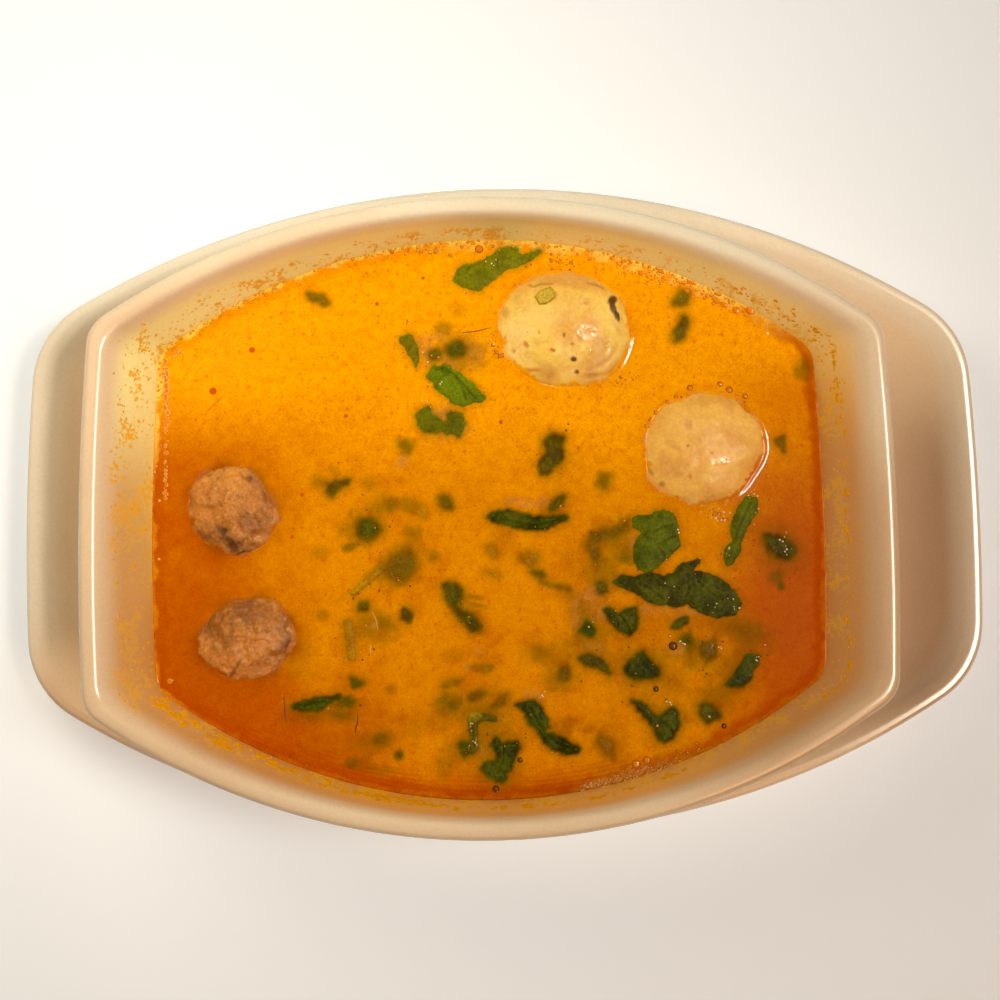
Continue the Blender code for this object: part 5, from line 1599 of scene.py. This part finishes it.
def tube(path, radius):
    """Closed thin tube along points, thinner towards its ends."""
    path = np.asarray(path, float)
    ahead = np.gradient(path, axis=0)
    ahead /= np.linalg.norm(ahead, axis=1)[:, None]
    across = np.cross(ahead, (0.0, 0.0, 1.0))
    across /= np.linalg.norm(across, axis=1)[:, None]
    ups = np.cross(across, ahead)
    taper = np.sin(np.linspace(0.25, pi - 0.25, len(path))) ** 0.5 * radius
    around = 2.0 * pi * np.arange(TUBE_SIDES) / TUBE_SIDES
    points = (path[:, None] + across[:, None] * (taper[:, None] * np.cos(around))[..., None]
              + ups[:, None] * (taper[:, None] * np.sin(around))[..., None]).reshape(-1, 3)
    return points, ring_faces(len(path), TUBE_SIDES)


def make_threads():
    """Fine threads of chilli, fibre and husk that lie on the soup."""
    parts = []
    for number, (line, radius, shade) in enumerate(THREADS):
        knots = spots(line)
        steps = np.linspace(0.0, len(knots) - 1.0, 6 * (len(knots) - 1) + 1)
        xy = np.column_stack([np.interp(steps, np.arange(len(knots)), knots[:, k]) for k in (0, 1)])
        xy += 0.12 * np.column_stack((wander(xy, 1.5, 800 + number), wander(xy, 1.5, 850 + number)))
        points, faces = tube(np.column_stack((xy, surface(xy) + 0.3 * radius)), radius)
        parts.append((points, faces, np.tile(linear(*shade), (len(points), 1))))
    piece("soup_threads", joined(parts), drop_finish("soup_thread", 0.3, 0.3))


# ---------------------------------------------------------------- stage

def make_stage():
    """Pale floor with a faint glow of its own."""
    mesh = bpy.data.meshes.new("floor")
    half = 3.0
    corners = [(-half, -half, 0), (half, -half, 0), (half, half, 0), (-half, half, 0)]
    mesh.from_pydata(corners, [], [(0, 1, 2, 3)])
    floor = bpy.data.objects.new("floor", mesh)
    bpy.context.collection.objects.link(floor)
    made, _, shader = finish("floor", roughness=0.9, specular=0.1)
    shader.inputs["Base Color"].default_value = (0.78, 0.86, 0.94, 1.0)
    shader.inputs["Emission Color"].default_value = (0.92, 0.97, 1.0, 1.0)
    shader.inputs["Emission Strength"].default_value = 0.32
    mesh.materials.append(made)


def add_light(name, place, size, power, colour, glossy, aim=SOUP_MIDDLE, angle=180.0):
    """Disk of light: place and size in mm, whether reflections show it, aim, spread in degrees."""
    data = bpy.data.lights.new(name, "AREA")
    data.shape = "DISK"
    data.size = size * MM
    data.energy = power
    data.color = colour
    data.spread = radians(angle)
    light = bpy.data.objects.new(name, data)
    light.location = Vector(place) * MM
    light.rotation_euler = (Vector(aim) - Vector(place)).to_track_quat("-Z", "Y").to_euler()
    light.visible_camera = False
    light.visible_glossy = glossy
    bpy.context.collection.objects.link(light)
    return light


def make_lights():
    """Four lights and a dim warm world, which the camera sees as pale."""
    add_light("key", (-156.0, 130.0, 250.0), 200.0, 0.50, (1.0, 0.84, 0.62), False)
    add_light("lamp", (599.0, -605.0, 1143.0), 500.0, 5.8, (1.0, 0.50, 0.22), True)
    add_light("side", (314.0, 0.0, 743.0), 200.0, 0.30, (1.0, 0.97, 0.86), False, (-110.0, 80.0, 50.0), 60.0)
    spark = add_light("spark", (560.0, 10.0, 1020.0), 440.0, 10.0, (1.0, 0.90, 0.74), True)
    spark.visible_diffuse = False
    spark.data.shape = "RECTANGLE"
    spark.data.size_y = 60.0 * MM
    world = bpy.data.worlds.new("studio")
    bpy.context.scene.world = world
    world.use_nodes = True
    tree = world.node_tree
    tree.nodes.clear()
    fill = node(tree, "Background", Color=(1.0, 0.56, 0.28, 1.0), Strength=0.03)
    pale = node(tree, "Background", Color=(0.95, 0.95, 0.95, 1.0), Strength=0.95)
    path = node(tree, "LightPath")
    shown = node(tree, "MixShader", i0=path.outputs["Is Camera Ray"], i1=fill.outputs[0], i2=pale.outputs[0])
    out = tree.nodes.new("ShaderNodeOutputWorld")
    tree.links.new(shown.outputs[0], out.inputs["Surface"])


def make_camera():
    """Camera at the photograph's place."""
    data = bpy.data.cameras.new("camera")
    data.sensor_width = SENSOR
    data.lens = SENSOR * FOCAL_PX / FRAME_PX
    data.shift_x = (FRAME_PX / 2.0 - CENTRE_PX[0]) / FRAME_PX
    data.shift_y = (CENTRE_PX[1] - FRAME_PX / 2.0) / FRAME_PX
    data.clip_start, data.clip_end = 0.01, 20.0
    camera = bpy.data.objects.new("camera", data)
    camera.location = Vector(CAMERA_PLACE) * MM
    camera.rotation_euler = CAMERA_TURN
    bpy.context.collection.objects.link(camera)
    bpy.context.scene.camera = camera


make_tray()
make_bowl()
make_soup()
make_pale_balls()
make_meatballs()
make_herbs()
make_stem_slice()
make_bubbles()
make_pinholes()
make_beads()
make_splashes()
make_threads()
make_stage()
make_lights()
make_camera()
bpy.context.scene.view_settings.view_transform = "Standard"
